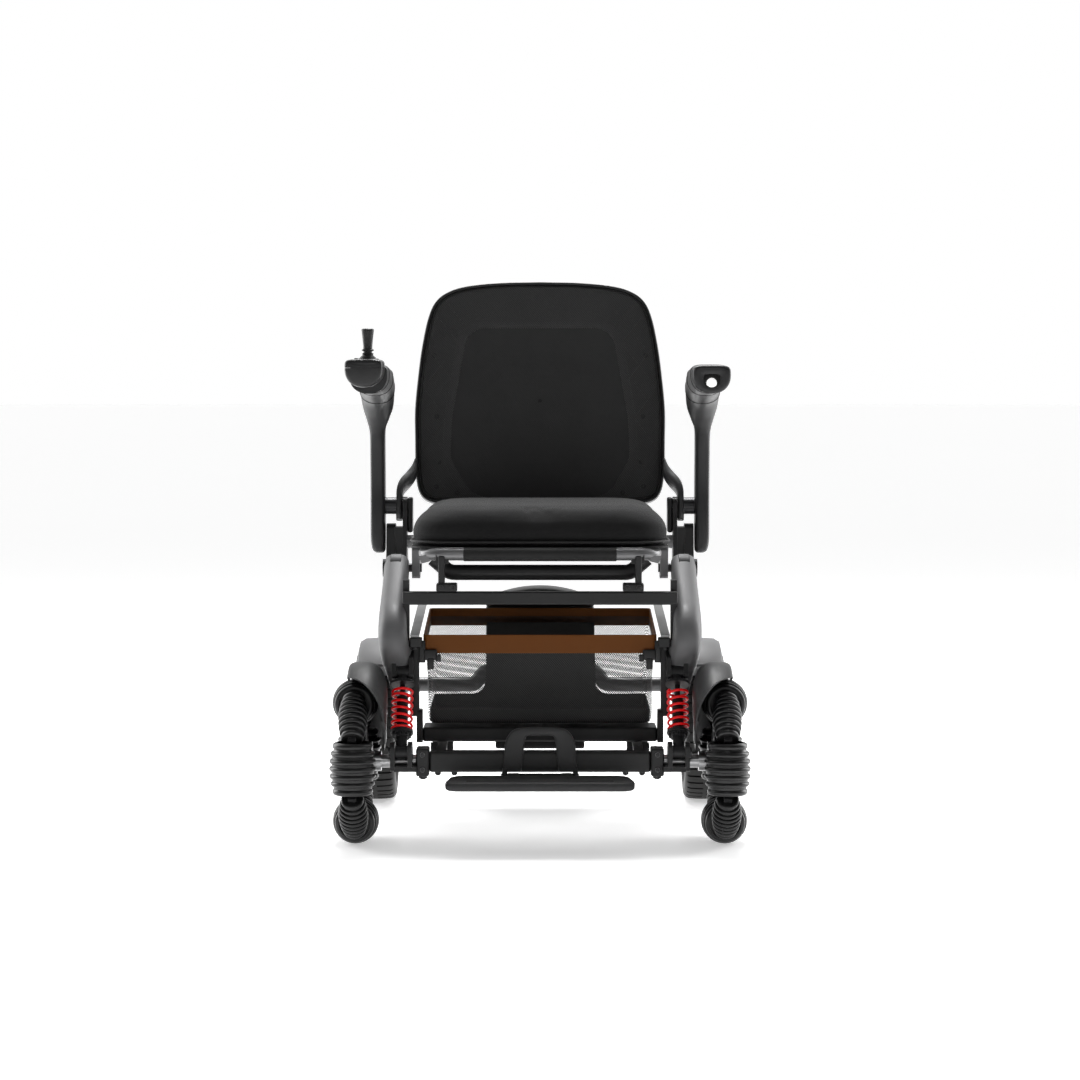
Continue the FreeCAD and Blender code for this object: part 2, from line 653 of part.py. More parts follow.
def electronics_tray():
    """Shallow tray under the basket, with the centre arms that carry the footrest."""
    rear = TRAY_FRONT_Y + TRAY_DEPTH
    top = TRAY_BOTTOM_Z + TRAY_HEIGHT
    tray = soft_box(-TRAY_HALF_WIDTH, TRAY_HALF_WIDTH, TRAY_FRONT_Y, rear, TRAY_BOTTOM_Z, top, 4.0)
    belly = soft_box(-69, 69, TRAY_FRONT_Y + 8, rear - 16, 133, TRAY_BOTTOM_Z + 6, 4.0)
    pieces = [tray, belly]
    gap = ARM_WIDTH / 2 + KNUCKLE_GAP
    for x in (ARM_X - gap - 8, ARM_X + gap):
        ear = side_plate([(ARM_PIVOT_Y - 13, 114), (ARM_PIVOT_Y + 13, 114), (ARM_PIVOT_Y + 13, 150),
                          (ARM_PIVOT_Y - 13, 150)], 4.0, x, x + 8)
        pieces += [ear, mirrored(ear)]
    whole = fuse(pieces)
    for side in (1, -1):
        hole = cyl_x(ARM_X - 20, ARM_X + 20, ARM_PIVOT_Y, ARM_PIVOT_Z, ARM_PIN_RADIUS)
        whole = whole.cut(hole if side > 0 else mirrored(hole))
    return whole


def arm_pins():
    """Pins of the swing arms under the tray."""
    half = ARM_WIDTH / 2 + KNUCKLE_GAP + 8
    pin = cyl_x(ARM_X - half, ARM_X + half, ARM_PIVOT_Y, ARM_PIVOT_Z, ARM_PIN_RADIUS)
    head = cyl_x(ARM_X + half, ARM_X + half + 3, ARM_PIVOT_Y, ARM_PIVOT_Z, 9.0)
    return pair(pin.fuse(head))


def rail_brackets():
    """Black brackets at the front posts that hold the basket's rails."""
    block = soft_box(RAIL_X - 11, RAIL_X + 8, -206, POST_Y - 10, 294, 309, 2.5)
    boss = Part.makeCylinder(5.0, 18.0, V(RAIL_X, -197, 291))
    return pair(block.fuse(boss))


def basket_rails():
    """Flat silver rails either side of the basket, rising a little to the rear."""
    rail = soft_box(-RAIL_WIDTH / 2, RAIL_WIDTH / 2, 0, 352.0, 0, 4, 1.2)
    rail.rotate(V(0, 0, 0), V(1, 0, 0), RIM_SLOPE)
    rail.translate(V(RAIL_X, -204, 310))
    return pair(rail)


def basket():
    """Open basket: bottom and four walls, with a lip at the rim."""
    wide = BASKET_HALF_WIDTH
    low_wide = wide - BASKET_TAPER
    outline = [(-low_wide, BASKET_FRONT_Y + 24), (low_wide, BASKET_FRONT_Y + 24),
               (low_wide, BASKET_REAR_Y - 20), (-low_wide, BASKET_REAR_Y - 20)]
    low = [V(x, y, BASKET_BOTTOM_Z) for x, y in outline]
    slope = math.tan(math.radians(RIM_SLOPE))
    rise = (BASKET_REAR_Y - BASKET_FRONT_Y) * slope
    top = [V(-wide, BASKET_FRONT_Y, BASKET_TOP_Z), V(wide, BASKET_FRONT_Y, BASKET_TOP_Z),
           V(wide, BASKET_REAR_Y, BASKET_TOP_Z + rise), V(-wide, BASKET_REAR_Y, BASKET_TOP_Z + rise)]
    outer = Part.makeLoft([rounded_wire(low, [26] * 4), rounded_wire(top, [16] * 4)], True, True)
    wall = BASKET_WALL
    low_in = [V(p.x - math.copysign(wall, p.x), p.y - math.copysign(wall, p.y + 40),
                BASKET_BOTTOM_Z + wall) for p in low]
    top_in = [V(p.x - math.copysign(wall, p.x), p.y - math.copysign(wall, p.y + 40), p.z + 0.01)
              for p in top]
    inner = Part.makeLoft([rounded_wire(low_in, [23] * 4), rounded_wire(top_in, [13] * 4)], True, True)
    return outer.cut(inner)


# ---- footrest -----------------------------------------------------------------------------------
def hanger_front():
    """Y of the hanger's front face."""
    return FRONT_Y - AXLE_BAR_DEPTH / 2 - HANGER_THICKNESS - 6


def footrest_hanger():
    """Inverted U in front of the axle beam, with two arms back over it to the tray."""
    wide = HANGER_HALF_WIDTH
    gap = HANGER_OPENING
    top = HANGER_TOP_Z
    y0 = hanger_front()
    y1 = y0 + HANGER_THICKNESS
    outer = front_plate([(-wide - 2, 94), (wide + 2, 94), (wide, top), (-wide, top)], [3, 3, 16, 16],
                        y0, y1)
    inner = front_plate([(-gap - 6, 88), (gap + 6, 88), (gap, top - 18), (-gap, top - 18)],
                        [3, 3, 9, 9], y0 - 2, y1 + 2)
    arm = soft_box(30, 54, y0 + 2, TRAY_FRONT_Y, top - 16, top, 3.0)
    drop = box(30, 54, TRAY_FRONT_Y - 14, TRAY_FRONT_Y, TRAY_BOTTOM_Z + 2, top - 2)
    arm = arm.fuse(drop)
    whole = fuse([outer.cut(inner), arm, mirrored(arm)])
    notch = box(KNUCKLE_X - KNUCKLE_HALF - KNUCKLE_GAP, KNUCKLE_X + KNUCKLE_HALF + KNUCKLE_GAP,
                y0 - 5, y1 + 5, 80, FOOT_PIN_Z + 12)
    return whole.cut(notch).cut(mirrored(notch)).cut(footrest_pin())


def footrest_pin():
    """Pin that the foot plate turns on."""
    half = HANGER_HALF_WIDTH + 2
    return cyl_x(-half, half, hanger_front() + FOOT_PIN_INSET, FOOT_PIN_Z, FOOT_PIN_RADIUS)


def foot_plate():
    """Foot plate with tapered ends and two hinge knuckles at its rear edge."""
    wide = PLATE_HALF_WIDTH
    top = PLATE_TOP_Z
    low = top - PLATE_THICKNESS
    pin_y = hanger_front() + FOOT_PIN_INSET
    rear = pin_y - PLATE_GAP
    shape = flat_plate([(-wide, rear - 4), (-wide + 22, PLATE_FRONT_Y), (wide - 22, PLATE_FRONT_Y),
                        (wide, rear - 4), (wide - 30, rear), (-wide + 30, rear)],
                       [10, 26, 26, 10, 8, 8], low, top)
    edges = [e for e in shape.Edges if abs(e.BoundBox.ZMin - e.BoundBox.ZMax) < 0.01]
    pieces = [shape.makeFillet(4.0, edges)]
    for x in (-KNUCKLE_X, KNUCKLE_X):
        pieces.append(cyl_x(x - KNUCKLE_HALF, x + KNUCKLE_HALF, pin_y, FOOT_PIN_Z, 7.5))
        arm = side_plate([(rear - 12, low + 2), (pin_y, low + 8), (pin_y, FOOT_PIN_Z + 6),
                          (rear - 12, top - 1)], 0.8, x - KNUCKLE_HALF, x + KNUCKLE_HALF)
        pieces.append(arm)
    whole = fuse(pieces)
    return whole.cut(cyl_x(-80, 80, pin_y, FOOT_PIN_Z, FOOT_PIN_RADIUS + RUNNING_GAP))


# ---- rear frame ---------------------------------------------------------------------------------
def rear_legs():
    """Legs from the fold pivot down to the rear wheel motors."""
    middle = BEAM_INNER_X + BEAM_WIDTH / 2
    x0 = middle - TONGUE_WIDTH / 2
    x1 = middle + TONGUE_WIDTH / 2
    head = cyl_x(x0, x1, 0, PIVOT_HEIGHT, KNUCKLE_RADIUS)
    leg = side_plate([(-8, PIVOT_HEIGHT - 19), (12, PIVOT_HEIGHT + 18), (96, 350), (218, 232),
                      (REAR_Y + 26, WHEEL_RADIUS + 10), (REAR_Y + 14, WHEEL_RADIUS - 26),
                      (REAR_Y - 26, WHEEL_RADIUS - 14), (168, 196), (70, 296)],
                     [4, 8, 40, 60, 22, 18, 22, 60, 40], x0, x1)
    leg = fuse([head, leg])
    return pair(leg.cut(cyl_x(x0 - 5, x1 + 5, 0, PIVOT_HEIGHT, FOLD_PIN_RADIUS + RUNNING_GAP)))


def rear_crossbeam():
    """Grey beam between the rear legs, curving up to the battery's cradle."""
    reach = BEAM_INNER_X + BEAM_WIDTH / 2 - TONGUE_WIDTH / 2
    level = BATTERY_FRONT_Y + BATTERY_DEPTH + 14
    tube = bent_tube([V(-reach, level, 196), V(-108, level, 196), V(-92, level, 218),
                      V(92, level, 218), V(108, level, 196), V(reach, level, 196)], 14.0, 12.0)
    return tube


def rear_fenders():
    """Short grey fenders over the top and back of the rear wheels, on brackets from the legs."""
    x0 = BEAM_INNER_X + BEAM_WIDTH / 2 + TONGUE_WIDTH / 2
    inner = REAR_X - 26
    ring = Part.makeCylinder(139, 52, V(inner, 0, 0), V(1, 0, 0))
    ring = ring.cut(Part.makeCylinder(136, 60, V(inner - 4, 0, 0), V(1, 0, 0)))
    wedge = [V(inner - 8, 0, 0), V(inner - 8, -48, 230), V(inner - 8, 200, 230), V(inner - 8, 230, 60)]
    sector = Part.Face(Part.makePolygon(wedge + [wedge[0]])).extrude(V(70, 0, 0))
    web = box(x0, inner + 1, 0, 30, 128, 139)
    bracket = box(x0, x0 + 1.8, -2, 32, 22, 139)
    round_edge = Part.makeCylinder(139, 80, V(x0 - 5, 0, 0), V(1, 0, 0))
    fender = fuse([ring.common(sector), web.common(round_edge), bracket.common(round_edge)])
    fender.translate(V(0, REAR_Y, WHEEL_RADIUS))
    return pair(fender)


def battery_box():
    """Battery housing with its rounded top and the lugs that hook it on the rear crossbeam."""
    wide = BATTERY_HALF_WIDTH
    y0 = BATTERY_FRONT_Y
    y1 = y0 + BATTERY_DEPTH
    body = soft_box(-wide, wide, y0, y1, BATTERY_BOTTOM_Z, BATTERY_TOP_Z, 8.0)
    dome = front_plate([(-62, BATTERY_TOP_Z - 10), (62, BATTERY_TOP_Z - 10), (46, 368), (-46, 368)],
                       [3, 3, 26, 26], y0 + 6, y1 - 6)
    lug = box(30, 60, y1 - 1, y1 + 18, 208, 246)
    return fuse([body, dome, lug, mirrored(lug)]).cut(rear_crossbeam())


def rear_rim(side):
    """Rim and hub motor of one rear wheel."""
    half = TYRE_WIDTH / 2
    motor = Part.makeCylinder(60, 50, V(-25, 0, 0), V(1, 0, 0))
    disc = Part.makeCylinder(RIM_RADIUS, 2 * half - 20, V(-half + 10, 0, 0), V(1, 0, 0))
    disc = disc.cut(Part.makeCylinder(RIM_RADIUS - 8, 30, V(6, 0, 0), V(1, 0, 0)))
    disc = disc.cut(Part.makeCylinder(RIM_RADIUS - 8, 30, V(-36, 0, 0), V(1, 0, 0)))
    rim = fuse([motor, disc])
    for i in range(10):
        turn = math.radians(36 * i)
        hole = V(-20, 72 * math.cos(turn), 72 * math.sin(turn))
        rim = rim.cut(Part.makeCylinder(7, 40, hole, V(1, 0, 0)))
    rim.translate(V(side * REAR_X, REAR_Y, WHEEL_RADIUS))
    bore = STUB_RADIUS + RUNNING_GAP
    return rim.cut(cyl_x(side * REAR_X - 60, side * REAR_X + 60, REAR_Y, WHEEL_RADIUS, bore))


def rear_tyre(side):
    """Solid tyre with cross grooves in its tread."""
    half = TYRE_WIDTH / 2
    profile = [V(-half + 10, 0, RIM_RADIUS), V(-half, 0, RIM_RADIUS + 6), V(-half, 0, 112),
               V(-half + 12, 0, WHEEL_RADIUS - 1), V(0, 0, WHEEL_RADIUS),
               V(half - 12, 0, WHEEL_RADIUS - 1), V(half, 0, 112), V(half, 0, RIM_RADIUS + 6),
               V(half - 10, 0, RIM_RADIUS)]
    edges = [Part.LineSegment(profile[0], profile[1]).toShape(),
             Part.LineSegment(profile[1], profile[2]).toShape(),
             Part.Arc(profile[2], V(-half + 4, 0, 121), profile[3]).toShape(),
             Part.Arc(profile[3], profile[4], profile[5]).toShape(),
             Part.Arc(profile[5], V(half - 4, 0, 121), profile[6]).toShape(),
             Part.LineSegment(profile[6], profile[7]).toShape(),
             Part.LineSegment(profile[7], profile[8]).toShape(),
             Part.LineSegment(profile[8], profile[0]).toShape()]
    tyre = Part.Face(Part.Wire(edges)).revolve(V(0, 0, 0), V(1, 0, 0), 360)
    grooves = []
    count = 48
    for i in range(count):
        groove = box(-half - 2, -3, -2.0, 2.0, WHEEL_RADIUS - 4.5, WHEEL_RADIUS + 4)
        other = box(3, half + 2, -2.0, 2.0, WHEEL_RADIUS - 4.5, WHEEL_RADIUS + 4)
        groove.rotate(V(0, 0, 0), V(1, 0, 0), 360.0 * i / count)
        other.rotate(V(0, 0, 0), V(1, 0, 0), 360.0 * (i + 0.5) / count)
        grooves += [groove, other]
    tyre = tyre.cut(Part.makeCompound(grooves))
    tyre.translate(V(side * REAR_X, REAR_Y, WHEEL_RADIUS))
    return tyre


def rear_axles():
    """Motor axles fixed in the rear legs, each with its end cap."""
    x0 = BEAM_INNER_X + BEAM_WIDTH / 2 - TONGUE_WIDTH / 2
    x1 = x0 + TONGUE_WIDTH
    axle = cyl_x(x1, REAR_X + 29, REAR_Y, WHEEL_RADIUS, STUB_RADIUS)
    cap = cyl_x(REAR_X + 25.6, REAR_X + 29, REAR_Y, WHEEL_RADIUS, 18.0)
    flange = cyl_x(x1, REAR_X - 26, REAR_Y, WHEEL_RADIUS, 22.0)
    return pair(fuse([axle, cap, flange]))


# ---- seat ---------------------------------------------------------------------------------------
def seat_frame():
    """Seat tubes: front tube, side tubes, rear tube and the lugs of the fold pivot."""
    r = SEAT_TUBE_RADIUS
    x = SEAT_TUBE_X
    z = SEAT_TUBE_Z
    loop = bent_tube([V(-x, SIDE_PIN_Y - 15, z), V(-x, SEAT_FRONT_Y + 2, z),
                      V(x, SEAT_FRONT_Y + 2, z), V(x, SIDE_PIN_Y - 15, z)], 34.0, r)
    rear = cyl_x(-PLATE_X, PLATE_X, SIDE_PIN_Y - 15, z - REAR_TUBE_DROP, REAR_TUBE_RADIUS)
    lug = side_plate([(-20, PIVOT_HEIGHT - 16), (20, PIVOT_HEIGHT - 16), (26, z + 4), (-26, z + 4)],
                     8.0, 190.5, 203.0)
    tie = box(x, 200.0, -24, 24, z - 8, z + 6)
    lug = lug.fuse(tie)
    lug = lug.cut(cyl_x(180, 215, 0, PIVOT_HEIGHT, FOLD_PIN_RADIUS + RUNNING_GAP))
    return fuse([loop, rear, lug, mirrored(lug)])


def seat_hoop():
    """Black hoop under the front of the seat: level in the middle, ends rising to the side tubes."""
    y = SEAT_FRONT_Y + 42
    return bent_tube([V(-165, y, SEAT_TUBE_Z - 8.5), V(-140, y, 405.5), V(140, y, 405.5),
                      V(165, y, SEAT_TUBE_Z - 8.5)], 22.0, 12.0)


def seat_link_plates():
    """Plates under the seat tube, with the bolted saddles that rest over the crossbar."""
    y = CROSSBAR_Y
    plate = soft_box(146, 156, y - 9, y + 9, CROSSBAR_Z + 16, SEAT_TUBE_Z - 2, 2.0)
    saddle = soft_box(127, 159, y - 14, y + 14, CROSSBAR_Z + 10.5, CROSSBAR_Z + 23, 2.5)
    tie = box(140, 160, y - 5, SEAT_FRONT_Y + 8, SEAT_TUBE_Z - 14, SEAT_TUBE_Z)
    plates = fuse([plate, saddle, tie]).cut(seat_frame())
    return pair(plates)


def saddle_bolts():
    """Bolts through the saddles."""
    bolts = []
    for x in (134.0, 152.0):
        bolts.append(hex_bolt(V(x, CROSSBAR_Y - 14, CROSSBAR_Z + 17), V(0, -1, 0), 4.0, 3.0))
    return pair(Part.makeCompound(bolts))


def seat_pan():
    """Board under the cushion."""
    return flat_plate([(-198, SEAT_FRONT_Y + 8), (198, SEAT_FRONT_Y + 8), (198, SEAT_REAR_Y - 4),
                       (-198, SEAT_REAR_Y - 4)], 30.0, SEAT_TUBE_Z + SEAT_TUBE_RADIUS + 0.05,
                      CUSHION_BOTTOM)


def seat_cushion():
    """Seat cushion, a rounded slab."""
    wide = SEAT_HALF_WIDTH
    pad = flat_plate([(-wide, SEAT_FRONT_Y), (wide, SEAT_FRONT_Y), (wide - 6, SEAT_REAR_Y),
                      (-wide + 6, SEAT_REAR_Y)], 46.0, CUSHION_BOTTOM, CUSHION_BOTTOM + CUSHION_HEIGHT)
    top = [e for e in pad.Edges if e.BoundBox.ZMin > CUSHION_BOTTOM + CUSHION_HEIGHT - 0.1]
    pad = pad.makeFillet(26.0, top)
    low = [e for e in pad.Edges if e.BoundBox.ZMax < CUSHION_BOTTOM + 0.1]
    return pad.makeFillet(10.0, low)


def hinge_side_plates():
    """Side plates at the rear of the seat that carry the back and the armrests."""
    outline = [(SIDE_PIN_Y - 34, 388), (SIDE_PIN_Y + 26, 388), (SIDE_PIN_Y + 20, 470),
               (SIDE_PIN_Y + 15, SIDE_PIN_Z + 15), (SIDE_PIN_Y - 15, SIDE_PIN_Z + 15),
               (SIDE_PIN_Y - 22, 462)]
    plate = side_plate(outline, [16, 12, 20, 12, 12, 20], PLATE_X, PLATE_X + 7)
    outer = side_plate([(SIDE_PIN_Y - 30, 390), (SIDE_PIN_Y + 22, 390), (SIDE_PIN_Y + 16, 463),
                        (SIDE_PIN_Y - 18, 463)], [14, 12, 10, 10], 238, 253)
    web = box(PLATE_X + 6, 239, SIDE_PIN_Y - 22, SIDE_PIN_Y + 16, 394, 458)
    whole = fuse([plate, outer, web])
    return pair(whole.cut(cyl_x(PLATE_X - 5, 300, SIDE_PIN_Y, SIDE_PIN_Z, SIDE_PIN_RADIUS)))


def side_pins():
    """Pins at the back corners of the seat: the back arms and the armrests turn on them."""
    pin = cyl_x(PLATE_X - 5, POST_OUTER_X - 3, SIDE_PIN_Y, SIDE_PIN_Z, SIDE_PIN_RADIUS)
    head = cyl_x(PLATE_X - 8, PLATE_X, SIDE_PIN_Y, SIDE_PIN_Z, 11.0)
    collar = cyl_x(PLATE_X + 18, POST_INNER_X - 0.5, SIDE_PIN_Y, SIDE_PIN_Z, 14.0)
    return pair(fuse([pin, head, collar]))


# ---- backrest -----------------------------------------------------------------------------------
def lean_back(shape):
    """Set a shape made upright at the back's foot, leaned to the recline."""
    placed = shape.copy()
    placed.rotate(V(0, 0, 0), V(1, 0, 0), -BACK_RECLINE)
    placed.translate(V(0, BACK_BOTTOM_Y, BACK_BOTTOM_Z))
    return placed


def back_outline(inset):
    """Outline of the back in its own plane, inset all round."""
    wide = BACK_HALF_WIDTH - inset
    top = BACK_TOP_HALF - inset
    low = BACK_BOTTOM_HALF - inset
    return [(-low, inset), (low, inset), (wide, 84), (wide - 6, 190), (top, BACK_HEIGHT - inset),
            (-top, BACK_HEIGHT - inset), (-wide + 6, 190), (-wide, 84)]


def back_frame():
    """Rim of the backrest: a ring with rounded corners."""
    radii = [24, 24, 80, 200, 62, 62, 200, 80]
    outer = front_plate(back_outline(0), radii, 0, BACK_THICKNESS)
    edges = [e for e in outer.Edges if abs(e.BoundBox.YMin - e.BoundBox.YMax) < 0.01]
    outer = outer.makeFillet(5.0, edges)
    inner_radii = [14, 14, 80, 200, 50, 50, 200, 80]
    inner = front_plate(back_outline(BACK_RIM), inner_radii, -5, BACK_THICKNESS + 5)
    return lean_back(outer.cut(inner))


def back_mesh():
    """Stretched mesh panel inside the rim."""
    inner_radii = [14, 14, 80, 200, 50, 50, 200, 80]
    return lean_back(front_plate(back_outline(BACK_RIM), inner_radii, 5, 13))


def back_arms():
    """Grey arms from the side pins up to the backrest's rim."""
    x0 = PLATE_X + 8
    x1 = PLATE_X + 17
    y = SIDE_PIN_Y
    eye = cyl_x(x0, x1, y, SIDE_PIN_Z, 15.0)
    foot = side_plate([(y - 14, SIDE_PIN_Z), (y + 14, SIDE_PIN_Z), (y + 38, SIDE_PIN_Z + 36),
                       (y + 10, SIDE_PIN_Z + 42)], 3.0, x0, x1)
    lows = [V(x0, y + 6, SIDE_PIN_Z + 28), V(x1, y + 6, SIDE_PIN_Z + 28),
            V(x1, y + 36, SIDE_PIN_Z + 28), V(x0, y + 36, SIDE_PIN_Z + 28)]
    rim_x = BACK_HALF_WIDTH - 4
    highs = [V(rim_x - 8, y + 44, SIDE_PIN_Z + 84), V(rim_x + 1, y + 44, SIDE_PIN_Z + 84),
             V(rim_x + 1, y + 70, SIDE_PIN_Z + 84), V(rim_x - 8, y + 70, SIDE_PIN_Z + 84)]
    sweep = Part.makeLoft([Part.makePolygon(lows + [lows[0]]), Part.makePolygon(highs + [highs[0]])],
                          True, True)
    arm = fuse([eye, foot, sweep])
    arm = arm.cut(cyl_x(x0 - 5, x1 + 5, y, SIDE_PIN_Z, SIDE_PIN_RADIUS + RUNNING_GAP))
    arm = arm.cut(back_frame()).cut(back_mesh())
    return pair(arm)


def back_brace():
    """Bar across the back of the rim, behind the mesh."""
    half = BACK_HALF_WIDTH - 6
    brace = front_plate([(-half, 96), (half, 96), (half, 124), (-half, 124)], 10.0,
                        BACK_THICKNESS + 0.05, BACK_THICKNESS + 8)
    return lean_back(brace)


# ---- armrests -----------------------------------------------------------------------------------
def ellipse_wire(centre, wide, tall, normal):
    """Closed elliptical section, level across X."""
    shape = Part.Ellipse(V(0, 0, 0), max(wide, tall), min(wide, tall)).toShape()
    wire = Part.Wire(shape)
    if tall > wide:
        wire.rotate(V(0, 0, 0), V(0, 0, 1), 90)
    wire.rotate(V(0, 0, 0), V(1, 0, 0), 90 + normal)
    wire.translate(centre)
    return wire


def armrest(side):
    """Arm from its wide front end back and down into the narrow post."""
    half = ARMREST_WIDTH / 2
    x = ARMREST_X
    top = ARM_TOP_Z
    stations = [(x, ARM_FRONT_Y, top - 24, half, 23, 0), (x, ARM_FRONT_Y + 90, top - 27, half, 22, 0),
                (x, ARM_FRONT_Y + 210, top - 34, half - 2, 20, -4),
                (x + 1, ARM_FRONT_Y + 310, top - 50, half - 9, 20, -14),
                (x + 2, ARM_FRONT_Y + 372, top - 78, 12.5, 24, -32)]
    wires = [ellipse_wire(V(px, py, pz), a, b, tilt) for px, py, pz, a, b, tilt in stations]
    body = Part.makeLoft(wires, True, False)
    y = SIDE_PIN_Y
    post = side_plate([(y - 24, 415), (y + 22, 415), (y + 20, 560), (y - 4, top - 70),
                       (ARM_FRONT_Y + 340, top - 64), (ARM_FRONT_Y + 352, top - 104), (y - 24, 560)],
                      [16, 16, 40, 20, 10, 20, 40], POST_INNER_X, POST_OUTER_X)
    arm = body.fuse(post)
    arm = arm.cut(cyl_x(POST_INNER_X - 10, POST_OUTER_X - 2.5, y, SIDE_PIN_Z,
                        SIDE_PIN_RADIUS + RUNNING_GAP))
    if side < 0:
        return mirrored(arm)
    return arm


def joystick_pod():
    """D-shaped control pod on the front of the other armrest."""
    x = -ARMREST_X
    y1 = ARM_FRONT_Y
    top = POD_TOP_Z
    pod = front_plate([(x - 29, top), (x - 26, top - 30), (x, top - 43), (x + 26, top - 30),
                       (x + 29, top)], [8, 14, 16, 14, 8], y1 - POD_LENGTH, y1)
    edges = [e for e in pod.Edges if abs(e.BoundBox.YMin - e.BoundBox.YMax) < 0.01]
    pod = pod.makeFillet(4.0, edges)
    well = Part.makeCylinder(STICK_WELL, 20, V(x, y1 - STICK_SETBACK, STICK_PIVOT_Z - 10))
    wells = button_discs(BUTTON_RADIUS + 0.3, POD_TOP_Z - 5.5, POD_TOP_Z + 5)
    return pod.cut(well).cut(Part.makeCompound(wells))


def button_discs(radius, low, high):
    """Two discs behind the stick, between two heights."""
    y = ARM_FRONT_Y - 11
    return [Part.makeCylinder(radius, high - low, V(-ARMREST_X + dx, y, low)) for dx in (-12, 12)]


def pod_buttons():
    """Power and speed buttons, standing a little out of the pod."""
    discs = button_discs(BUTTON_RADIUS, POD_TOP_Z - 3.0, POD_TOP_Z + 1.6)
    return Part.makeCompound([d.makeFillet(0.6, [e for e in d.Edges
                                                 if e.BoundBox.ZMin > POD_TOP_Z + 1]) for d in discs])


def stick_centre():
    """Where the joystick's two axes cross."""
    return V(-ARMREST_X, ARM_FRONT_Y - STICK_SETBACK, STICK_PIVOT_Z)


def joystick_ring():
    """Gimbal ring of the joystick, on two short pins."""
    c = stick_centre()
    ring = Part.makeCylinder(11.0, 5.0, c + V(0, 0, -2.5))
    pins = Part.makeCylinder(1.3, 2 * STICK_WELL - 0.4, c + V(-STICK_WELL + 0.2, 0, 0), V(1, 0, 0))
    ring = ring.fuse(pins).cut(Part.makeCylinder(8.0, 9.0, c + V(0, 0, -4.5)))
    return ring.cut(Part.makeCylinder(1.3, 30, c + V(0, -15, 0), V(0, 1, 0)))


def joystick_stick():
    """Joystick: ball, stem, rubber boot and tapered knob."""
    c = stick_centre()
    ball = Part.makeSphere(6.5, c)
    stem = Part.makeCylinder(3.4, 24, c)
    boot = Part.makeCone(12.0, 5.5, 8.0, c + V(0, 0, 9))
    ring = Part.makeCylinder(6.5, 3.0, c + V(0, 0, 20))
    knob = Part.makeCone(6.2, 9.0, 22, c + V(0, 0, 24))
    crown = Part.makeSphere(15.0, c + V(0, 0, 34)).common(Part.makeCylinder(9.0, 8, c + V(0, 0, 45)))
    pins = Part.makeCylinder(1.25, 21.0, c + V(0, -10.5, 0), V(0, 1, 0))
    return fuse([ball, stem, boot, ring, knob, crown, pins])


def main():
    """Write every node of the chair."""
    os.makedirs("parts", exist_ok=True)
    save_omni_wheel("left", -1)
    save_omni_wheel("right", 1)
    save("front_crossbar", front_crossbar())
    save("axle_arms", Part.makeCompound([axle_end_blocks(), swing_arms()]))
    save("stub_axles", stub_axles())
    save("axle_fasteners", Part.makeCompound([shock_lower_pins(), crossbar_bolts()]))
    save("mudguards", pair(mudguard()))
    save("shock_tops", shock_tops())
    save("shock_tubes", Part.makeCompound([shock_tubes(), spring_collars()]))
    save("shock_springs", shock_springs())
    save("left_side_beam", side_beam(-1))
    save("right_side_beam", side_beam(1))
    save("frame_brackets", Part.makeCompound([shock_clevises(), rail_brackets()]))
    save("frame_pins", Part.makeCompound([fold_pins(), arm_pins(), shock_upper_pins(),
                                          footrest_pin()]))
    save("cross_frame", Part.makeCompound([upper_crossbar(), hanger_posts()]))
    save("electronics_tray", electronics_tray())
    save("basket_rails", basket_rails())
    save("basket", basket())
    save("footrest_hanger", footrest_hanger())
    save("foot_plate", foot_plate())
    save("rear_legs", rear_legs())
    save("rear_crossbeam", Part.makeCompound([rear_crossbeam(), rear_fenders()]))
    save("battery_box", battery_box())
    save("rear_axles", rear_axles())
    for name, side in (("left", -1), ("right", 1)):
        save(name + "_rear_rim", rear_rim(side))
        save(name + "_rear_tyre", rear_tyre(side))
    save("seat_frame", seat_frame())
    save("seat_hoop", seat_hoop().cut(seat_frame()))
    save("seat_link_plates", Part.makeCompound([seat_link_plates(), saddle_bolts()]))
    save("seat_pan", seat_pan())
    save("seat_cushion", seat_cushion())
    save("hinge_side_plates", hinge_side_plates())
    save("side_pins", side_pins())
    save("back_frame", back_frame())
    save("back_mesh", back_mesh())
    save("back_arms", Part.makeCompound([back_arms(), back_brace()]))
    save("left_armrest", armrest(-1))
    save("right_armrest", armrest(1))
    save("joystick_pod", joystick_pod())
    save("pod_buttons", pod_buttons())
    save("joystick_ring", joystick_ring())
    save("joystick_stick", joystick_stick())


main()
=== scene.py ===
"""Looks of a folding power wheelchair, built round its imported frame. Metres, +Z up, front towards -Y."""

import json
import logging
import math
from dataclasses import dataclass, field
from enum import Enum
from typing import Sequence

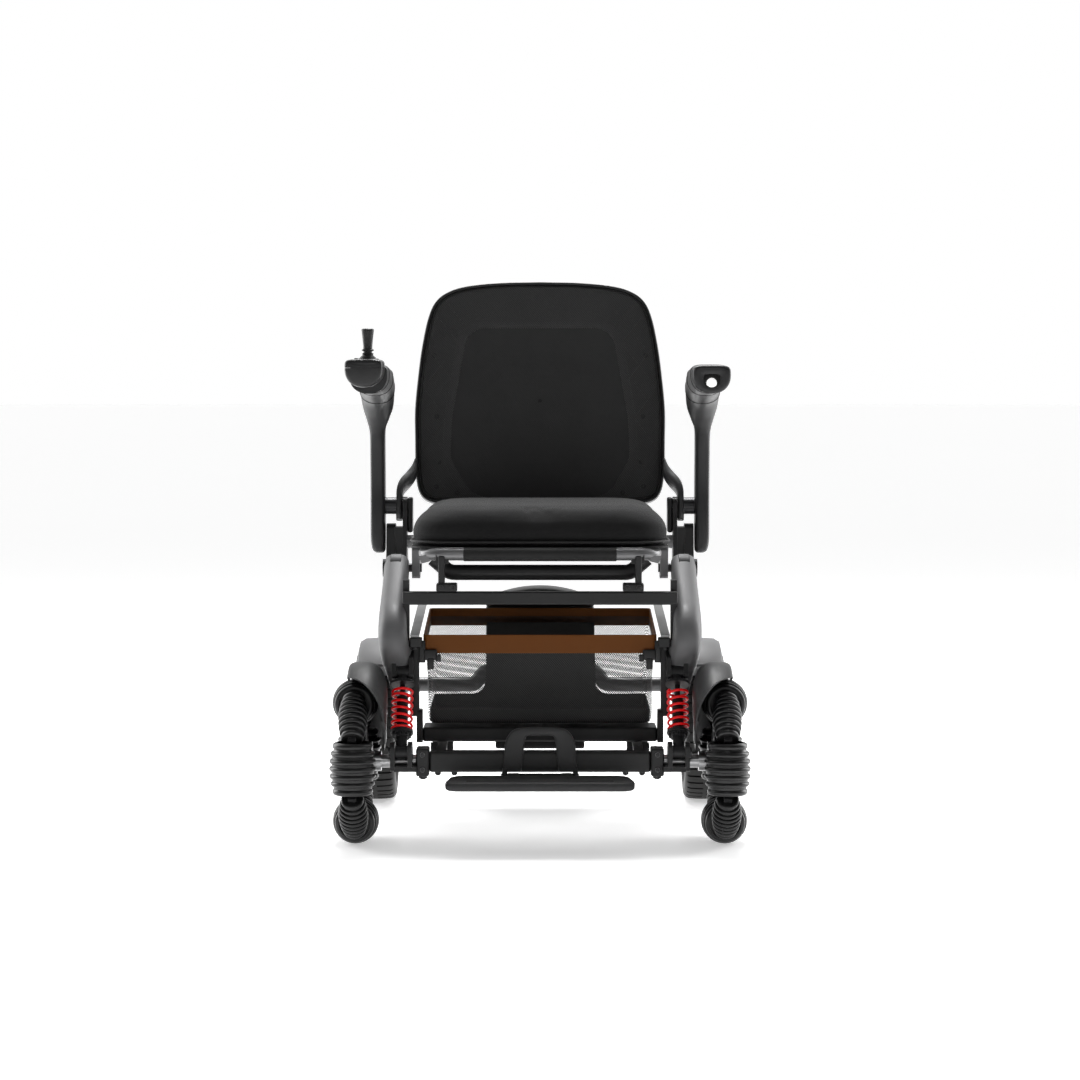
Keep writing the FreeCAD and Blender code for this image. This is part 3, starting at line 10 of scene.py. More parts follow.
import bmesh
import bpy
import numpy as np
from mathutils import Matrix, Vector


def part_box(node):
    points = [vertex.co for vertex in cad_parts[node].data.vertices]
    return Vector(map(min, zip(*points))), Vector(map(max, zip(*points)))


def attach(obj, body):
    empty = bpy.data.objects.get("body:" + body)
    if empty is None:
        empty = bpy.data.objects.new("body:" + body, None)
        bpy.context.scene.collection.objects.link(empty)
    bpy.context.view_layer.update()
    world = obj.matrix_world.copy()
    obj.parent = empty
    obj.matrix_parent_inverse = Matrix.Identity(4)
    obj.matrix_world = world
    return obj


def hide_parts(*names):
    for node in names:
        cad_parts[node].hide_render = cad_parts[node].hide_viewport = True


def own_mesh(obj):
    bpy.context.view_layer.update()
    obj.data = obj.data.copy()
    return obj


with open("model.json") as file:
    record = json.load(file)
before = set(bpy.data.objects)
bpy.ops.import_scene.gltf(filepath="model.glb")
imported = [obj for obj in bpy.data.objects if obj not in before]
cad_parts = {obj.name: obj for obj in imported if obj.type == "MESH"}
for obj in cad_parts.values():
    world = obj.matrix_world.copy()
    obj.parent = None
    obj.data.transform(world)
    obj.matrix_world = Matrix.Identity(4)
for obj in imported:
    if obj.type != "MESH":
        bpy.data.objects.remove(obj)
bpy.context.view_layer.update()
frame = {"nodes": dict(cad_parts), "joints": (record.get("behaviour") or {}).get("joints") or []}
LOG = logging.getLogger("wheelchair")
SIDES = (("left", -1.0), ("right", 1.0))
BOTH = (-1.0, 1.0)
SIDEWAYS = Vector((1.0, 0.0, 0.0))
UPWARDS = Vector((0.0, 0.0, 1.0))
TURN = 2.0 * math.pi
RGB = tuple[float, float, float]


# ---- shader effects shared by the finishes --------------------------------------------------------
class Board:
    """Wires the nodes of one shader tree."""

    def __init__(self, tree: bpy.types.NodeTree) -> None:
        """Hold the tree.

        Args:
            tree: the node tree to wire.
        """
        self.tree = tree

    def add(self, kind: str, **settings: object) -> bpy.types.Node:
        """Add a node and set its properties.

        Args:
            kind: Blender's name of the node type.
            settings: properties of the node.

        Returns:
            The new node.
        """
        node = self.tree.nodes.new(kind)
        for key, value in settings.items():
            setattr(node, key, value)
        return node

    def link(self, source: bpy.types.NodeSocket, target: bpy.types.NodeSocket) -> None:
        """Join an output to an input."""
        self.tree.links.new(source, target)

    def calc(self, operation: str, *values: object) -> bpy.types.NodeSocket:
        """Add a math node.

        Args:
            operation: the sum it does.
            values: sockets or numbers, in order.

        Returns:
            The node's output.
        """
        node = self.add("ShaderNodeMath", operation=operation)
        for slot, value in zip(node.inputs, values):
            if isinstance(value, bpy.types.NodeSocket):
                self.link(value, slot)
            else:
                slot.default_value = value
        return node.outputs[0]

    def noise(self, vector: bpy.types.NodeSocket, scale: object, detail: float) -> bpy.types.NodeSocket:
        """Add a noise texture.

        Args:
            vector: where it is read.
            scale: a number or a socket.
            detail: octaves.

        Returns:
            Its grey output.
        """
        node = self.add("ShaderNodeTexNoise")
        self.link(vector, node.inputs["Vector"])
        if isinstance(scale, bpy.types.NodeSocket):
            self.link(scale, node.inputs["Scale"])
        else:
            node.inputs["Scale"].default_value = scale
        node.inputs["Detail"].default_value = detail
        return node.outputs[0]


class EffectGroups:
    """Node groups that more than one finish uses, each built once."""

    def __init__(self) -> None:
        """Start with no group built."""
        self.made: dict[str, bpy.types.NodeTree] = {}

    def start(self, name: str, inputs: Sequence[tuple[str, str]], outputs: Sequence[str]) -> Board:
        """Make an empty group with its sockets.

        Args:
            name: the group's name.
            inputs: socket names and types.
            outputs: names of its float outputs.

        Returns:
            A board on the group.
        """
        tree = bpy.data.node_groups.new(name, "ShaderNodeTree")
        for label, kind in inputs:
            tree.interface.new_socket(label, in_out="INPUT", socket_type=kind)
        for label in outputs:
            tree.interface.new_socket(label, in_out="OUTPUT", socket_type="NodeSocketFloat")
        self.made[name] = tree
        return Board(tree)

    def grain(self) -> bpy.types.NodeTree:
        """Fine moulded grain, with slow changes of tone and smudges.

        Returns:
            The group.
        """
        if "grain" in self.made:
            return self.made["grain"]
        board = self.start("grain", [("Position", "NodeSocketVector"), ("Scale", "NodeSocketFloat")],
                           ["Height", "Tone", "Smudge"])
        come = board.add("NodeGroupInput")
        give = board.add("NodeGroupOutput")
        position = come.outputs["Position"]
        fine = board.noise(position, come.outputs["Scale"], 5.0)
        cells = board.add("ShaderNodeTexVoronoi", feature="F1")
        board.link(position, cells.inputs["Vector"])
        board.link(come.outputs["Scale"], cells.inputs["Scale"])
        height = board.calc("ADD", board.calc("MULTIPLY", fine, 0.6),
                            board.calc("MULTIPLY", cells.outputs["Distance"], 0.4))
        board.link(height, give.inputs["Height"])
        board.link(board.noise(position, 9.0, 3.0), give.inputs["Tone"])
        smudge = board.calc("MULTIPLY", board.noise(position, 31.0, 6.0), board.noise(position, 5.0, 2.0))
        board.link(board.calc("MULTIPLY", smudge, 2.2), give.inputs["Smudge"])
        return self.made["grain"]

    def wear(self) -> bpy.types.NodeTree:
        """Rubbed outer edges, broken up so that they look handled.

        Returns:
            The group.
        """
        if "edge_wear" in self.made:
            return self.made["edge_wear"]
        board = self.start("edge_wear", [("Position", "NodeSocketVector"), ("Radius", "NodeSocketFloat"),
                                         ("Amount", "NodeSocketFloat")], ["Mask"])
        come = board.add("NodeGroupInput")
        give = board.add("NodeGroupOutput")
        bevel = board.add("ShaderNodeBevel", samples=4)
        board.link(come.outputs["Radius"], bevel.inputs["Radius"])
        shape = board.add("ShaderNodeNewGeometry")
        dot = board.add("ShaderNodeVectorMath", operation="DOT_PRODUCT")
        board.link(bevel.outputs["Normal"], dot.inputs[0])
        board.link(shape.outputs["Normal"], dot.inputs[1])
        edge = board.calc("MULTIPLY", board.calc("SUBTRACT", 1.0, dot.outputs["Value"]), 6.0)
        broken = board.calc("MULTIPLY", edge, board.noise(come.outputs["Position"], 160.0, 4.0))
        mask = board.calc("MINIMUM", board.calc("MULTIPLY", broken, come.outputs["Amount"]), 1.0)
        board.link(board.calc("MAXIMUM", mask, 0.0), give.inputs["Mask"])
        return self.made["edge_wear"]

    def weave(self) -> bpy.types.NodeTree:
        """Plain over and under cloth weave.

        Returns:
            The group.
        """
        if "weave" in self.made:
            return self.made["weave"]
        board = self.start("weave", [("Position", "NodeSocketVector"), ("Pitch", "NodeSocketFloat")],
                           ["Height", "Thread"])
        come = board.add("NodeGroupInput")
        give = board.add("NodeGroupOutput")
        split = board.add("ShaderNodeSeparateXYZ")
        board.link(come.outputs["Position"], split.inputs[0])
        turn = board.calc("DIVIDE", TURN, come.outputs["Pitch"])
        warp = board.calc("ADD", split.outputs[0], split.outputs[2])
        across = board.calc("SINE", board.calc("MULTIPLY", warp, turn))
        weft = board.calc("SUBTRACT", split.outputs[1], split.outputs[2])
        along = board.calc("SINE", board.calc("MULTIPLY", weft, turn))
        over = board.calc("MULTIPLY", across, along)
        board.link(board.calc("MULTIPLY_ADD", over, 0.5, 0.5), give.inputs["Height"])
        board.link(board.calc("ABSOLUTE", over), give.inputs["Thread"])
        return self.made["weave"]

    def net(self) -> bpy.types.NodeTree:
        """Diamond net of crossing threads: the mask is 1 on a thread.

        Returns:
            The group.
        """
        if "net" in self.made:
            return self.made["net"]
        board = self.start("net", [("Position", "NodeSocketVector"), ("Pitch", "NodeSocketFloat"),
                                   ("Thread", "NodeSocketFloat")], ["Mask", "Height"])
        come = board.add("NodeGroupInput")
        give = board.add("NodeGroupOutput")
        split = board.add("ShaderNodeSeparateXYZ")
        board.link(come.outputs["Position"], split.inputs[0])
        flat = board.calc("ADD", split.outputs[0], split.outputs[1])
        heights = []
        for sign in ("ADD", "SUBTRACT"):
            line = board.calc("DIVIDE", board.calc(sign, flat, split.outputs[2]), come.outputs["Pitch"])
            saw = board.calc("ABSOLUTE", board.calc("SUBTRACT", board.calc("FRACT", line), 0.5))
            heights.append(board.calc("MULTIPLY", saw, 2.0))
        top = board.calc("MAXIMUM", heights[0], heights[1])
        edge = board.calc("SUBTRACT", 1.0, come.outputs["Thread"])
        board.link(board.calc("GREATER_THAN", top, edge), give.inputs["Mask"])
        board.link(top, give.inputs["Height"])
        return self.made["net"]


EFFECTS = EffectGroups()


class Surface(Enum):
    """What a finish's surface is made of."""

    MOULDED = "moulded"
    BRUSHED = "brushed"
    WOVEN = "woven"
    NET = "net"
    LEATHER = "leather"


@dataclass(frozen=True)
class Finish:
    """One finish: colours, gloss, the relief of its surface and any painted glow."""

    name: str
    color: RGB
    accent: RGB
    roughness: float = 0.5
    swing: float = 0.12
    metallic: float = 0.0
    specular: float = 0.32
    coat: float = 0.0
    sheen: float = 0.0
    surface: Surface = Surface.MOULDED
    scale: float = 900.0
    depth: float = 0.00006
    wear: float = 0.0
    worn: RGB = (0.12, 0.12, 0.12)
    pitch: float = 0.0012
    thread: float = 0.25
    # glow: emission in the finish's own colour, painted light that makes the part glow though it is no lamp
    glow: float = 0.0

    def material(self) -> bpy.types.Material:
        """Build the material, or find it when it is built already.

        Returns:
            The material.
        """
        label = f"look_{self.name}"
        found = bpy.data.materials.get(label)
        if found is not None:
            return found
        made = bpy.data.materials.new(label)
        made.use_nodes = True
        board = Board(made.node_tree)
        shader = made.node_tree.nodes["Principled BSDF"]
        shader.inputs["Metallic"].default_value = self.metallic
        shader.inputs["Specular IOR Level"].default_value = self.specular
        shader.inputs["Coat Weight"].default_value = self.coat
        shader.inputs["Coat Roughness"].default_value = 0.12
        # Painted light: the finish glows in its own colour, at the glow strength.
        shader.inputs["Emission Color"].default_value = (*self.color, 1.0)
        shader.inputs["Emission Strength"].default_value = self.glow
        shader.inputs["Sheen Weight"].default_value = self.sheen
        shader.inputs["Sheen Roughness"].default_value = 0.45
        place = board.add("ShaderNodeTexCoord").outputs["Object"]
        grain = board.add("ShaderNodeGroup", node_tree=EFFECTS.grain())
        board.link(place, grain.inputs["Position"])
        grain.inputs["Scale"].default_value = self.scale
        color = self.mix(board, grain.outputs["Tone"], self.color, self.accent)
        height = self.relief(board, place, grain, shader)
        if self.wear > 0.0:
            rubbed = board.add("ShaderNodeGroup", node_tree=EFFECTS.wear())
            board.link(place, rubbed.inputs["Position"])
            rubbed.inputs["Radius"].default_value = 0.0014
            rubbed.inputs["Amount"].default_value = self.wear
            color = self.mix(board, rubbed.outputs["Mask"], color, self.worn)
        board.link(color, shader.inputs["Base Color"])
        least = self.roughness - self.swing * 0.5
        rough = board.calc("MULTIPLY_ADD", grain.outputs["Smudge"], self.swing, least)
        board.link(rough, shader.inputs["Roughness"])
        bump = board.add("ShaderNodeBump")
        bump.inputs["Distance"].default_value = self.depth
        board.link(height, bump.inputs["Height"])
        board.link(bump.outputs["Normal"], shader.inputs["Normal"])
        return made

    @staticmethod
    def mix(board: Board, mask: bpy.types.NodeSocket, low: object, high: object) -> bpy.types.NodeSocket:
        """Mix two colours by a mask.

        Args:
            board: the tree.
            mask: 0 for the first colour, 1 for the second.
            low: a colour or a socket.
            high: a colour or a socket.

        Returns:
            The mixed colour.
        """
        node = board.add("ShaderNodeMix", data_type="RGBA")
        board.link(mask, node.inputs["Factor"])
        for slot, value in ((node.inputs[6], low), (node.inputs[7], high)):
            if isinstance(value, bpy.types.NodeSocket):
                board.link(value, slot)
            else:
                slot.default_value = (*value, 1.0)
        return node.outputs[2]

    def relief(self, board: Board, place: bpy.types.NodeSocket, grain: bpy.types.Node,
               shader: bpy.types.Node) -> bpy.types.NodeSocket:
        """Height of the surface for its bump, and the holes of a net.

        Args:
            board: the tree.
            place: coordinates of the surface.
            grain: the grain group's node.
            shader: the surface shader.

        Returns:
            The height.
        """
        if self.surface is Surface.BRUSHED:
            stretch = board.add("ShaderNodeMapping")
            stretch.inputs["Scale"].default_value = (1.0, 0.02, 1.0)
            board.link(place, stretch.inputs["Vector"])
            return board.noise(stretch.outputs["Vector"], self.scale, 4.0)
        if self.surface is Surface.LEATHER:
            cells = board.add("ShaderNodeTexVoronoi", feature="DISTANCE_TO_EDGE")
            board.link(place, cells.inputs["Vector"])
            cells.inputs["Scale"].default_value = self.scale
            crease = board.calc("MINIMUM", cells.outputs["Distance"], 0.3)
            return board.calc("ADD", crease, grain.outputs["Height"])
        if self.surface is Surface.WOVEN:
            cloth = board.add("ShaderNodeGroup", node_tree=EFFECTS.weave())
            board.link(place, cloth.inputs["Position"])
            cloth.inputs["Pitch"].default_value = self.pitch
            return board.calc("ADD", cloth.outputs["Height"], grain.outputs["Height"])
        if self.surface is Surface.NET:
            holes = board.add("ShaderNodeGroup", node_tree=EFFECTS.net())
            board.link(place, holes.inputs["Position"])
            holes.inputs["Pitch"].default_value = self.pitch
            holes.inputs["Thread"].default_value = self.thread
            board.link(holes.outputs["Mask"], shader.inputs["Alpha"])
            return holes.outputs["Height"]
        return grain.outputs["Height"]


BLADE_GREY = Finish("blade_grey", (0.050, 0.050, 0.051), (0.062, 0.062, 0.063), roughness=0.42, swing=0.08,
                    metallic=0.3, scale=2200.0, depth=0.000025, wear=0.3, worn=(0.16, 0.16, 0.16))
BLACK_RUBBER = Finish("roller_rubber", (0.007, 0.007, 0.0075), (0.011, 0.011, 0.011), roughness=0.30,
                      swing=0.14, specular=0.45, scale=700.0, depth=0.00003)
TYRE_RUBBER = Finish("rear_tyre", (0.012, 0.012, 0.012), (0.022, 0.022, 0.021), roughness=0.55, scale=1200.0,
                     depth=0.00008)
HUB_BLACK = Finish("hub_black", (0.014, 0.014, 0.015), (0.022, 0.022, 0.023), roughness=0.38, scale=1400.0,
                   depth=0.00003, wear=0.35)
MOTOR_BLACK = Finish("motor_black", (0.02, 0.02, 0.021), (0.03, 0.03, 0.031), roughness=0.4, metallic=0.4,
                     wear=0.4)
ARM_PLASTIC = Finish("arm_plastic", (0.020, 0.020, 0.021), (0.028, 0.028, 0.029), roughness=0.42, swing=0.10,
                     scale=1600.0, depth=0.00005, coat=0.08, wear=0.15, worn=(0.06, 0.06, 0.06))
BEAM_GREY = Finish("beam_grey", (0.135, 0.135, 0.138), (0.165, 0.165, 0.168), roughness=0.52, swing=0.08,
                   metallic=0.15, scale=2200.0, depth=0.000025, coat=0.03, wear=0.25, worn=(0.30, 0.30, 0.30))
FRAME_BLACK = Finish("frame_black", (0.014, 0.014, 0.0145), (0.022, 0.022, 0.0225), roughness=0.44,
                     swing=0.12, scale=1800.0, depth=0.00004, coat=0.06, wear=0.5, worn=(0.10, 0.10, 0.10))
STEEL = Finish("steel", (0.42, 0.42, 0.43), (0.52, 0.52, 0.52), roughness=0.30, metallic=1.0, scale=900.0,
               depth=0.00002)
DARK_STEEL = Finish("dark_steel", (0.035, 0.035, 0.037), (0.05, 0.05, 0.052), roughness=0.34, metallic=0.7,
                    depth=0.00002, wear=0.5, worn=(0.3, 0.3, 0.3))
GUARD_PLASTIC = Finish("guard_plastic", (0.016, 0.016, 0.0165), (0.023, 0.023, 0.024), roughness=0.46,
                       scale=1500.0, depth=0.00007)
SHOCK_BLACK = Finish("shock_black", (0.013, 0.013, 0.014), (0.02, 0.02, 0.021), roughness=0.42, wear=0.35)
# The springs glow a little (glow=0.12): painted light that keeps the red coils bright, without their shade.
SPRING_RED = Finish("spring_red", (0.85, 0.004, 0.008), (0.92, 0.010, 0.012), roughness=0.3, swing=0.06,
                    coat=0.2, glow=0.12, scale=500.0, depth=0.00002)
RAIL_SILVER = Finish("rail_silver", (0.22, 0.22, 0.223), (0.32, 0.32, 0.323), roughness=0.42, metallic=0.75,
                     surface=Surface.BRUSHED, scale=2600.0, depth=0.00004, wear=0.3, worn=(0.7, 0.7, 0.7))
NET_BLACK = Finish("basket_mesh", (0.050, 0.050, 0.050), (0.065, 0.065, 0.065), roughness=0.6,
                   surface=Surface.NET, pitch=0.0034, thread=0.30, depth=0.0003)
NET_SOLID = Finish("basket_base", (0.014, 0.014, 0.014), (0.020, 0.020, 0.020), roughness=0.62,
                   surface=Surface.WOVEN, pitch=0.0014, depth=0.00012)
LEATHER_BROWN = Finish("basket_leather", (0.150, 0.050, 0.011), (0.185, 0.066, 0.016), roughness=0.55,
                       swing=0.16, specular=0.12, surface=Surface.LEATHER, scale=900.0, depth=0.00010,
                       wear=0.25, worn=(0.24, 0.11, 0.045))
FOOT_PLASTIC = Finish("foot_plastic", (0.030, 0.030, 0.031), (0.042, 0.042, 0.043), roughness=0.50,
                      swing=0.14, scale=1100.0, depth=0.00014, wear=0.35)
GREY_METAL = Finish("grey_metal", (0.10, 0.10, 0.102), (0.13, 0.13, 0.132), roughness=0.38, metallic=0.4,
                    scale=1800.0, depth=0.00003, coat=0.1, wear=0.3, worn=(0.3, 0.3, 0.3))
FENDER_GREY = Finish("fender_grey", (0.13, 0.13, 0.132), (0.16, 0.16, 0.162), roughness=0.55, metallic=0.1,
                     scale=1800.0, depth=0.00003, wear=0.2, worn=(0.35, 0.35, 0.35))
BATTERY_PLASTIC = Finish("battery_plastic", (0.018, 0.018, 0.0185), (0.026, 0.026, 0.027), roughness=0.48,
                         scale=1300.0, depth=0.00010)
SEAT_TUBE = Finish("seat_tube", (0.17, 0.17, 0.173), (0.21, 0.21, 0.213), roughness=0.33, metallic=0.5,
                   surface=Surface.BRUSHED, scale=1500.0, depth=0.00002)
PAN_BOARD = Finish("pan_board", (0.012, 0.012, 0.012), (0.018, 0.018, 0.018), roughness=0.7)
SEAT_FABRIC = Finish("seat_fabric", (0.011, 0.011, 0.0113), (0.015, 0.015, 0.0153), roughness=0.85,
                     swing=0.10, specular=0.18, sheen=0.05, surface=Surface.WOVEN, pitch=0.0011,
                     scale=500.0, depth=0.00016)
SEAT_PIPING = Finish("seat_piping", (0.010, 0.010, 0.010), (0.016, 0.016, 0.016), roughness=0.6, sheen=0.1,
                     surface=Surface.WOVEN, pitch=0.0009, depth=0.0001)
BACK_RIM = Finish("back_rim", (0.014, 0.014, 0.0145), (0.020, 0.020, 0.0205), roughness=0.36, coat=0.1,
                  scale=1700.0, depth=0.00004, wear=0.25, worn=(0.07, 0.07, 0.07))
BACK_NET = Finish("back_mesh", (0.050, 0.050, 0.0505), (0.058, 0.058, 0.0585), roughness=0.75, specular=0.3,
                  sheen=0.12, surface=Surface.NET, pitch=0.0030, thread=0.46, depth=0.0003)
BACK_SHELL = Finish("back_shell", (0.130, 0.130, 0.131), (0.150, 0.150, 0.151), roughness=0.5, scale=1200.0,
                    depth=0.00008)
BACK_COVER = Finish("back_cover", (0.034, 0.034, 0.0345), (0.042, 0.042, 0.0425), roughness=0.8,
                    surface=Surface.WOVEN, pitch=0.0016, depth=0.00018)
STICK_RUBBER = Finish("stick_rubber", (0.016, 0.016, 0.016), (0.022, 0.022, 0.022), roughness=0.42,
                      scale=1500.0, depth=0.00005)
POD_PLASTIC = Finish("pod_plastic", (0.017, 0.017, 0.0175), (0.022, 0.022, 0.0225), roughness=0.40, coat=0.1,
                     scale=1700.0, depth=0.00004)
# The plug glows (glow=0.6): painted light that keeps it bright white.
PLUG_WHITE = Finish("plug_white", (0.82, 0.82, 0.81), (0.88, 0.88, 0.87), roughness=0.35, glow=0.6,
                    scale=900.0, depth=0.00003)
GROOVE_BLACK = Finish("groove_black", (0.004, 0.004, 0.004), (0.006, 0.006, 0.006), roughness=0.7)


# ---- mesh tools -----------------------------------------------------------------------------------
def superellipse(count: int, half_u: float, up: float, down: float, power: float) -> np.ndarray:
    """Closed outline whose upper and lower halves may differ in height.

    Args:
        count: points round it.
        half_u: half width.
        up: height above the middle.
        down: depth below the middle.
        power: 2 is an ellipse, larger is squarer.

    Returns:
        Points as rows of (u, v).
    """
    angle = np.linspace(0.0, TURN, count, endpoint=False)
    cos, sin = np.cos(angle), np.sin(angle)
    u = half_u * np.sign(cos) * np.abs(cos) ** (2.0 / power)
    v = np.where(sin > 0, up, down) * np.sign(sin) * np.abs(sin) ** (2.0 / power)
    return np.stack([u, v], axis=1)


def both_halves(half: np.ndarray) -> np.ndarray:
    """A half outline that ends on the middle line, followed by its mirror image."""
    return np.vstack([half, (half[::-1] * (-1.0, 1.0))[1:]])


def smooth(stations: Sequence[Sequence[float]], steps: int) -> np.ndarray:
    """Smooth curve through rows of values.

    Args:
        stations: one row of values at each station.
        steps: spans that each gap is divided into.

    Returns:
        The rows, with new ones between.
    """
    rows = np.array(stations, float)
    ends = np.vstack([2 * rows[0] - rows[1], rows, 2 * rows[-1] - rows[-2]])
    out = []
    for i in range(len(rows) - 1):
        a, b, c, d = ends[i:i + 4]
        for t in np.linspace(0.0, 1.0, steps, endpoint=False):
            out.append(0.5 * (2 * b + (c - a) * t + (2 * a - 5 * b + 4 * c - d) * t * t
                              + (3 * b - a - 3 * c + d) * t ** 3))
    out.append(rows[-1])
    return np.array(out)


def evenly_spaced(loop: np.ndarray, count: int) -> np.ndarray:
    """Points at equal steps along a loop.

    Args:
        loop: rows of (u, v), the last the same as the first.
        count: points to place.

    Returns:
        Points as rows of (u, v).
    """
    run = np.concatenate([[0.0], np.cumsum(np.linalg.norm(np.diff(loop, axis=0), axis=1))])
    at = np.linspace(0.0, run[-1], count, endpoint=False)
    return np.stack([np.interp(at, run, loop[:, 0]), np.interp(at, run, loop[:, 1])], axis=1)


def across_run(rows: np.ndarray, i: int) -> np.ndarray:
    """Direction at right angles to a run of stations, in the (y, z) plane.

    Args:
        rows: stations that start with y and z.
        i: which one.

    Returns:
        A unit (y, z).
    """
    ahead = rows[min(i + 1, len(rows) - 1)][:2] - rows[max(i - 1, 0)][:2]
    ahead /= np.linalg.norm(ahead)
    return np.array([-ahead[1], ahead[0]])


def swept_rings(rows: np.ndarray, count: int, power: float, side: float = 1.0) -> list[np.ndarray]:
    """Rings of a bar with stations of y, z, inner x, outer x and half thickness.

    Args:
        rows: the stations.
        count: points in each ring.
        power: squareness of its section.
        side: -1 left, 1 right.

    Returns:
        One array of points for each ring.
    """
    rings = []
    for i, (y, z, inner, outer, half) in enumerate(rows):
        across = across_run(rows, i)
        middle = (inner + outer) / 2
        flat = superellipse(count, (outer - inner) / 2, half, half, power)
        rings.append(np.array([(side * (middle + u), y + across[0] * v, z + across[1] * v) for u, v in flat]))
    return rings


def rounded_outline(corners: Sequence[tuple[float, float]], radii: Sequence[float], count: int) -> np.ndarray:
    """Closed outline through corners, each rounded, with its points evenly spaced.

    Args:
        corners: corner points.
        radii: radius at each corner.
        count: points round it.

    Returns:
        Points as rows of (u, v).
    """
    points = np.array(corners, float)
    rough = []
    total = len(points)
    for i in range(total):
        corner = points[i]
        back = points[i - 1] - corner
        ahead = points[(i + 1) % total] - corner
        back /= np.linalg.norm(back)
        ahead /= np.linalg.norm(ahead)
        half = math.acos(float(np.clip(back @ ahead, -1.0, 1.0))) / 2.0
        reach = radii[i] / math.tan(half)
        bisector = (back + ahead) / np.linalg.norm(back + ahead)
        centre = corner + bisector * radii[i] / math.sin(half)
        first, last = corner + back * reach - centre, corner + ahead * reach - centre
        for t in np.linspace(0.0, 1.0, 17):
            ray = first * (1 - t) + last * t
            rough.append(centre + ray / np.linalg.norm(ray) * radii[i])
    return evenly_spaced(np.vstack([rough, rough[:1]]), count)


def mesh_object(name: str, points: np.ndarray, faces: Sequence[Sequence[int]]) -> bpy.types.Object:
    """New mesh piece in the scene.

    Args:
        name: its name.
        points: its corners.
        faces: the corner numbers of each face.

    Returns:
        The object.
    """
    mesh = bpy.data.meshes.new(name)
    mesh.from_pydata([tuple(map(float, p)) for p in points], [], [list(f) for f in faces])
    mesh.validate()
    piece = bpy.data.objects.new(name, mesh)
    bpy.context.scene.collection.objects.link(piece)
    return piece


def ring_faces(rings: int, count: int, closed: bool, start: int = 0) -> list[list[int]]:
    """Quads that join rings of points in order.

    Args:
        rings: how many rings.
        count: points in each.
        closed: whether the last ring joins the first.
        start: number of the first point.

    Returns:
        Corner numbers of each quad.
    """
    faces = []
    for i in range(rings if closed else rings - 1):
        j = (i + 1) % rings
        for k in range(count):
            m = (k + 1) % count
            faces.append([start + i * count + k, start + i * count + m,
                          start + j * count + m, start + j * count + k])
    return faces


def loft(name: str, rings: Sequence[np.ndarray], closed: bool = False, caps: bool = True) -> bpy.types.Object:
    """Skin over closed rings of equal count.

    Args:
        name: the piece's name.
        rings: rows of points, one array for each ring.
        closed: whether the last ring joins the first.
        caps: whether the end rings are filled.

    Returns:
        The object.
    """
    count = len(rings[0])
    faces = ring_faces(len(rings), count, closed)
    if caps and not closed:
        faces.append(list(range(count - 1, -1, -1)))
        faces.append(list(range((len(rings) - 1) * count, len(rings) * count)))
    return mesh_object(name, np.vstack(rings), faces)


def shade_smooth(piece: bpy.types.Object) -> None:
    """Shade every face of a piece smoothly."""
    for polygon in piece.data.polygons:
        polygon.use_smooth = True


def panel(name: str, rings: Sequence[np.ndarray]) -> bpy.types.Object:
    """Open skin over rings, closed across its last ring only.

    Args:
        name: the piece's name.
        rings: rows of points, one array for each ring.

    Returns:
        The object.
    """
    count = len(rings[0])
    faces = ring_faces(len(rings), count, False)
    faces.append([(len(rings) - 1) * count + k for k in range(count)])
    return mesh_object(name, np.vstack(rings), faces)


def join(name: str, pieces: Sequence[bpy.types.Object]) -> bpy.types.Object:
    """One piece from several meshes.

    Args:
        name: the new piece's name.
        pieces: meshes, which are removed.

    Returns:
        The joined object.
    """
    points, faces, start = [], [], 0
    for piece in pieces:
        rows = [piece.matrix_world @ v.co for v in piece.data.vertices]
        points += [tuple(p) for p in rows]
        faces += [[start + k for k in polygon.vertices] for polygon in piece.data.polygons]
        start += len(rows)
        bpy.data.objects.remove(piece, do_unlink=True)
    return mesh_object(name, np.array(points), faces)


def flipped(piece: bpy.types.Object) -> bpy.types.Object:
    """Mirror a mesh to the other side of the chair, its faces turned the right way.

    Args:
        piece: the mesh.

    Returns:
        The same piece.
    """
    for vertex in piece.data.vertices:
        vertex.co.x = -vertex.co.x
    piece.data.flip_normals()
    return piece


def mend(piece: bpy.types.Object, crease: float = 35.0) -> bpy.types.Object:
    """Point faces outwards, shade smoothly and keep the hard edges.

    Args:
        piece: the mesh.
        crease: edges sharper than this many degrees stay hard.

    Returns:
        The same piece.
    """
    grid = bmesh.new()
    grid.from_mesh(piece.data)
    bmesh.ops.remove_doubles(grid, verts=grid.verts, dist=1e-6)
    bmesh.ops.recalc_face_normals(grid, faces=grid.faces)
    for face in grid.faces:
        face.smooth = True
    for edge in grid.edges:
        edge.smooth = len(edge.link_faces) != 2 or edge.calc_face_angle(0.0) < math.radians(crease)
    grid.to_mesh(piece.data)
    grid.free()
    return piece


def apply_modifiers(piece: bpy.types.Object) -> bpy.types.Object:
    """Turn a piece's modifiers into its mesh.

    Args:
        piece: the piece.

    Returns:
        The same piece.
    """
    bpy.context.view_layer.update()
    baked = bpy.data.meshes.new_from_object(piece.evaluated_get(bpy.context.evaluated_depsgraph_get()))
    piece.modifiers.clear()
    piece.data = baked
    return piece


def thicken(piece: bpy.types.Object, thickness: float, offset: float = -1.0) -> bpy.types.Object:
    """Give a sheet a thickness.

    Args:
        piece: the sheet.
        thickness: metres.
        offset: -1 grows inwards, 1 outwards.

    Returns:
        The same piece.
    """
    shell = piece.modifiers.new("thickness", "SOLIDIFY")
    shell.thickness = thickness
    shell.offset = offset
    return apply_modifiers(piece)


def subdivided(piece: bpy.types.Object, levels: int) -> bpy.types.Object:
    """Subdivision surface, applied.

    Args:
        piece: the mesh.
        levels: how many times.

    Returns:
        The same piece.
    """
    step = piece.modifiers.new("subdivision", "SUBSURF")
    step.levels = levels
    step.render_levels = levels
    return apply_modifiers(piece)


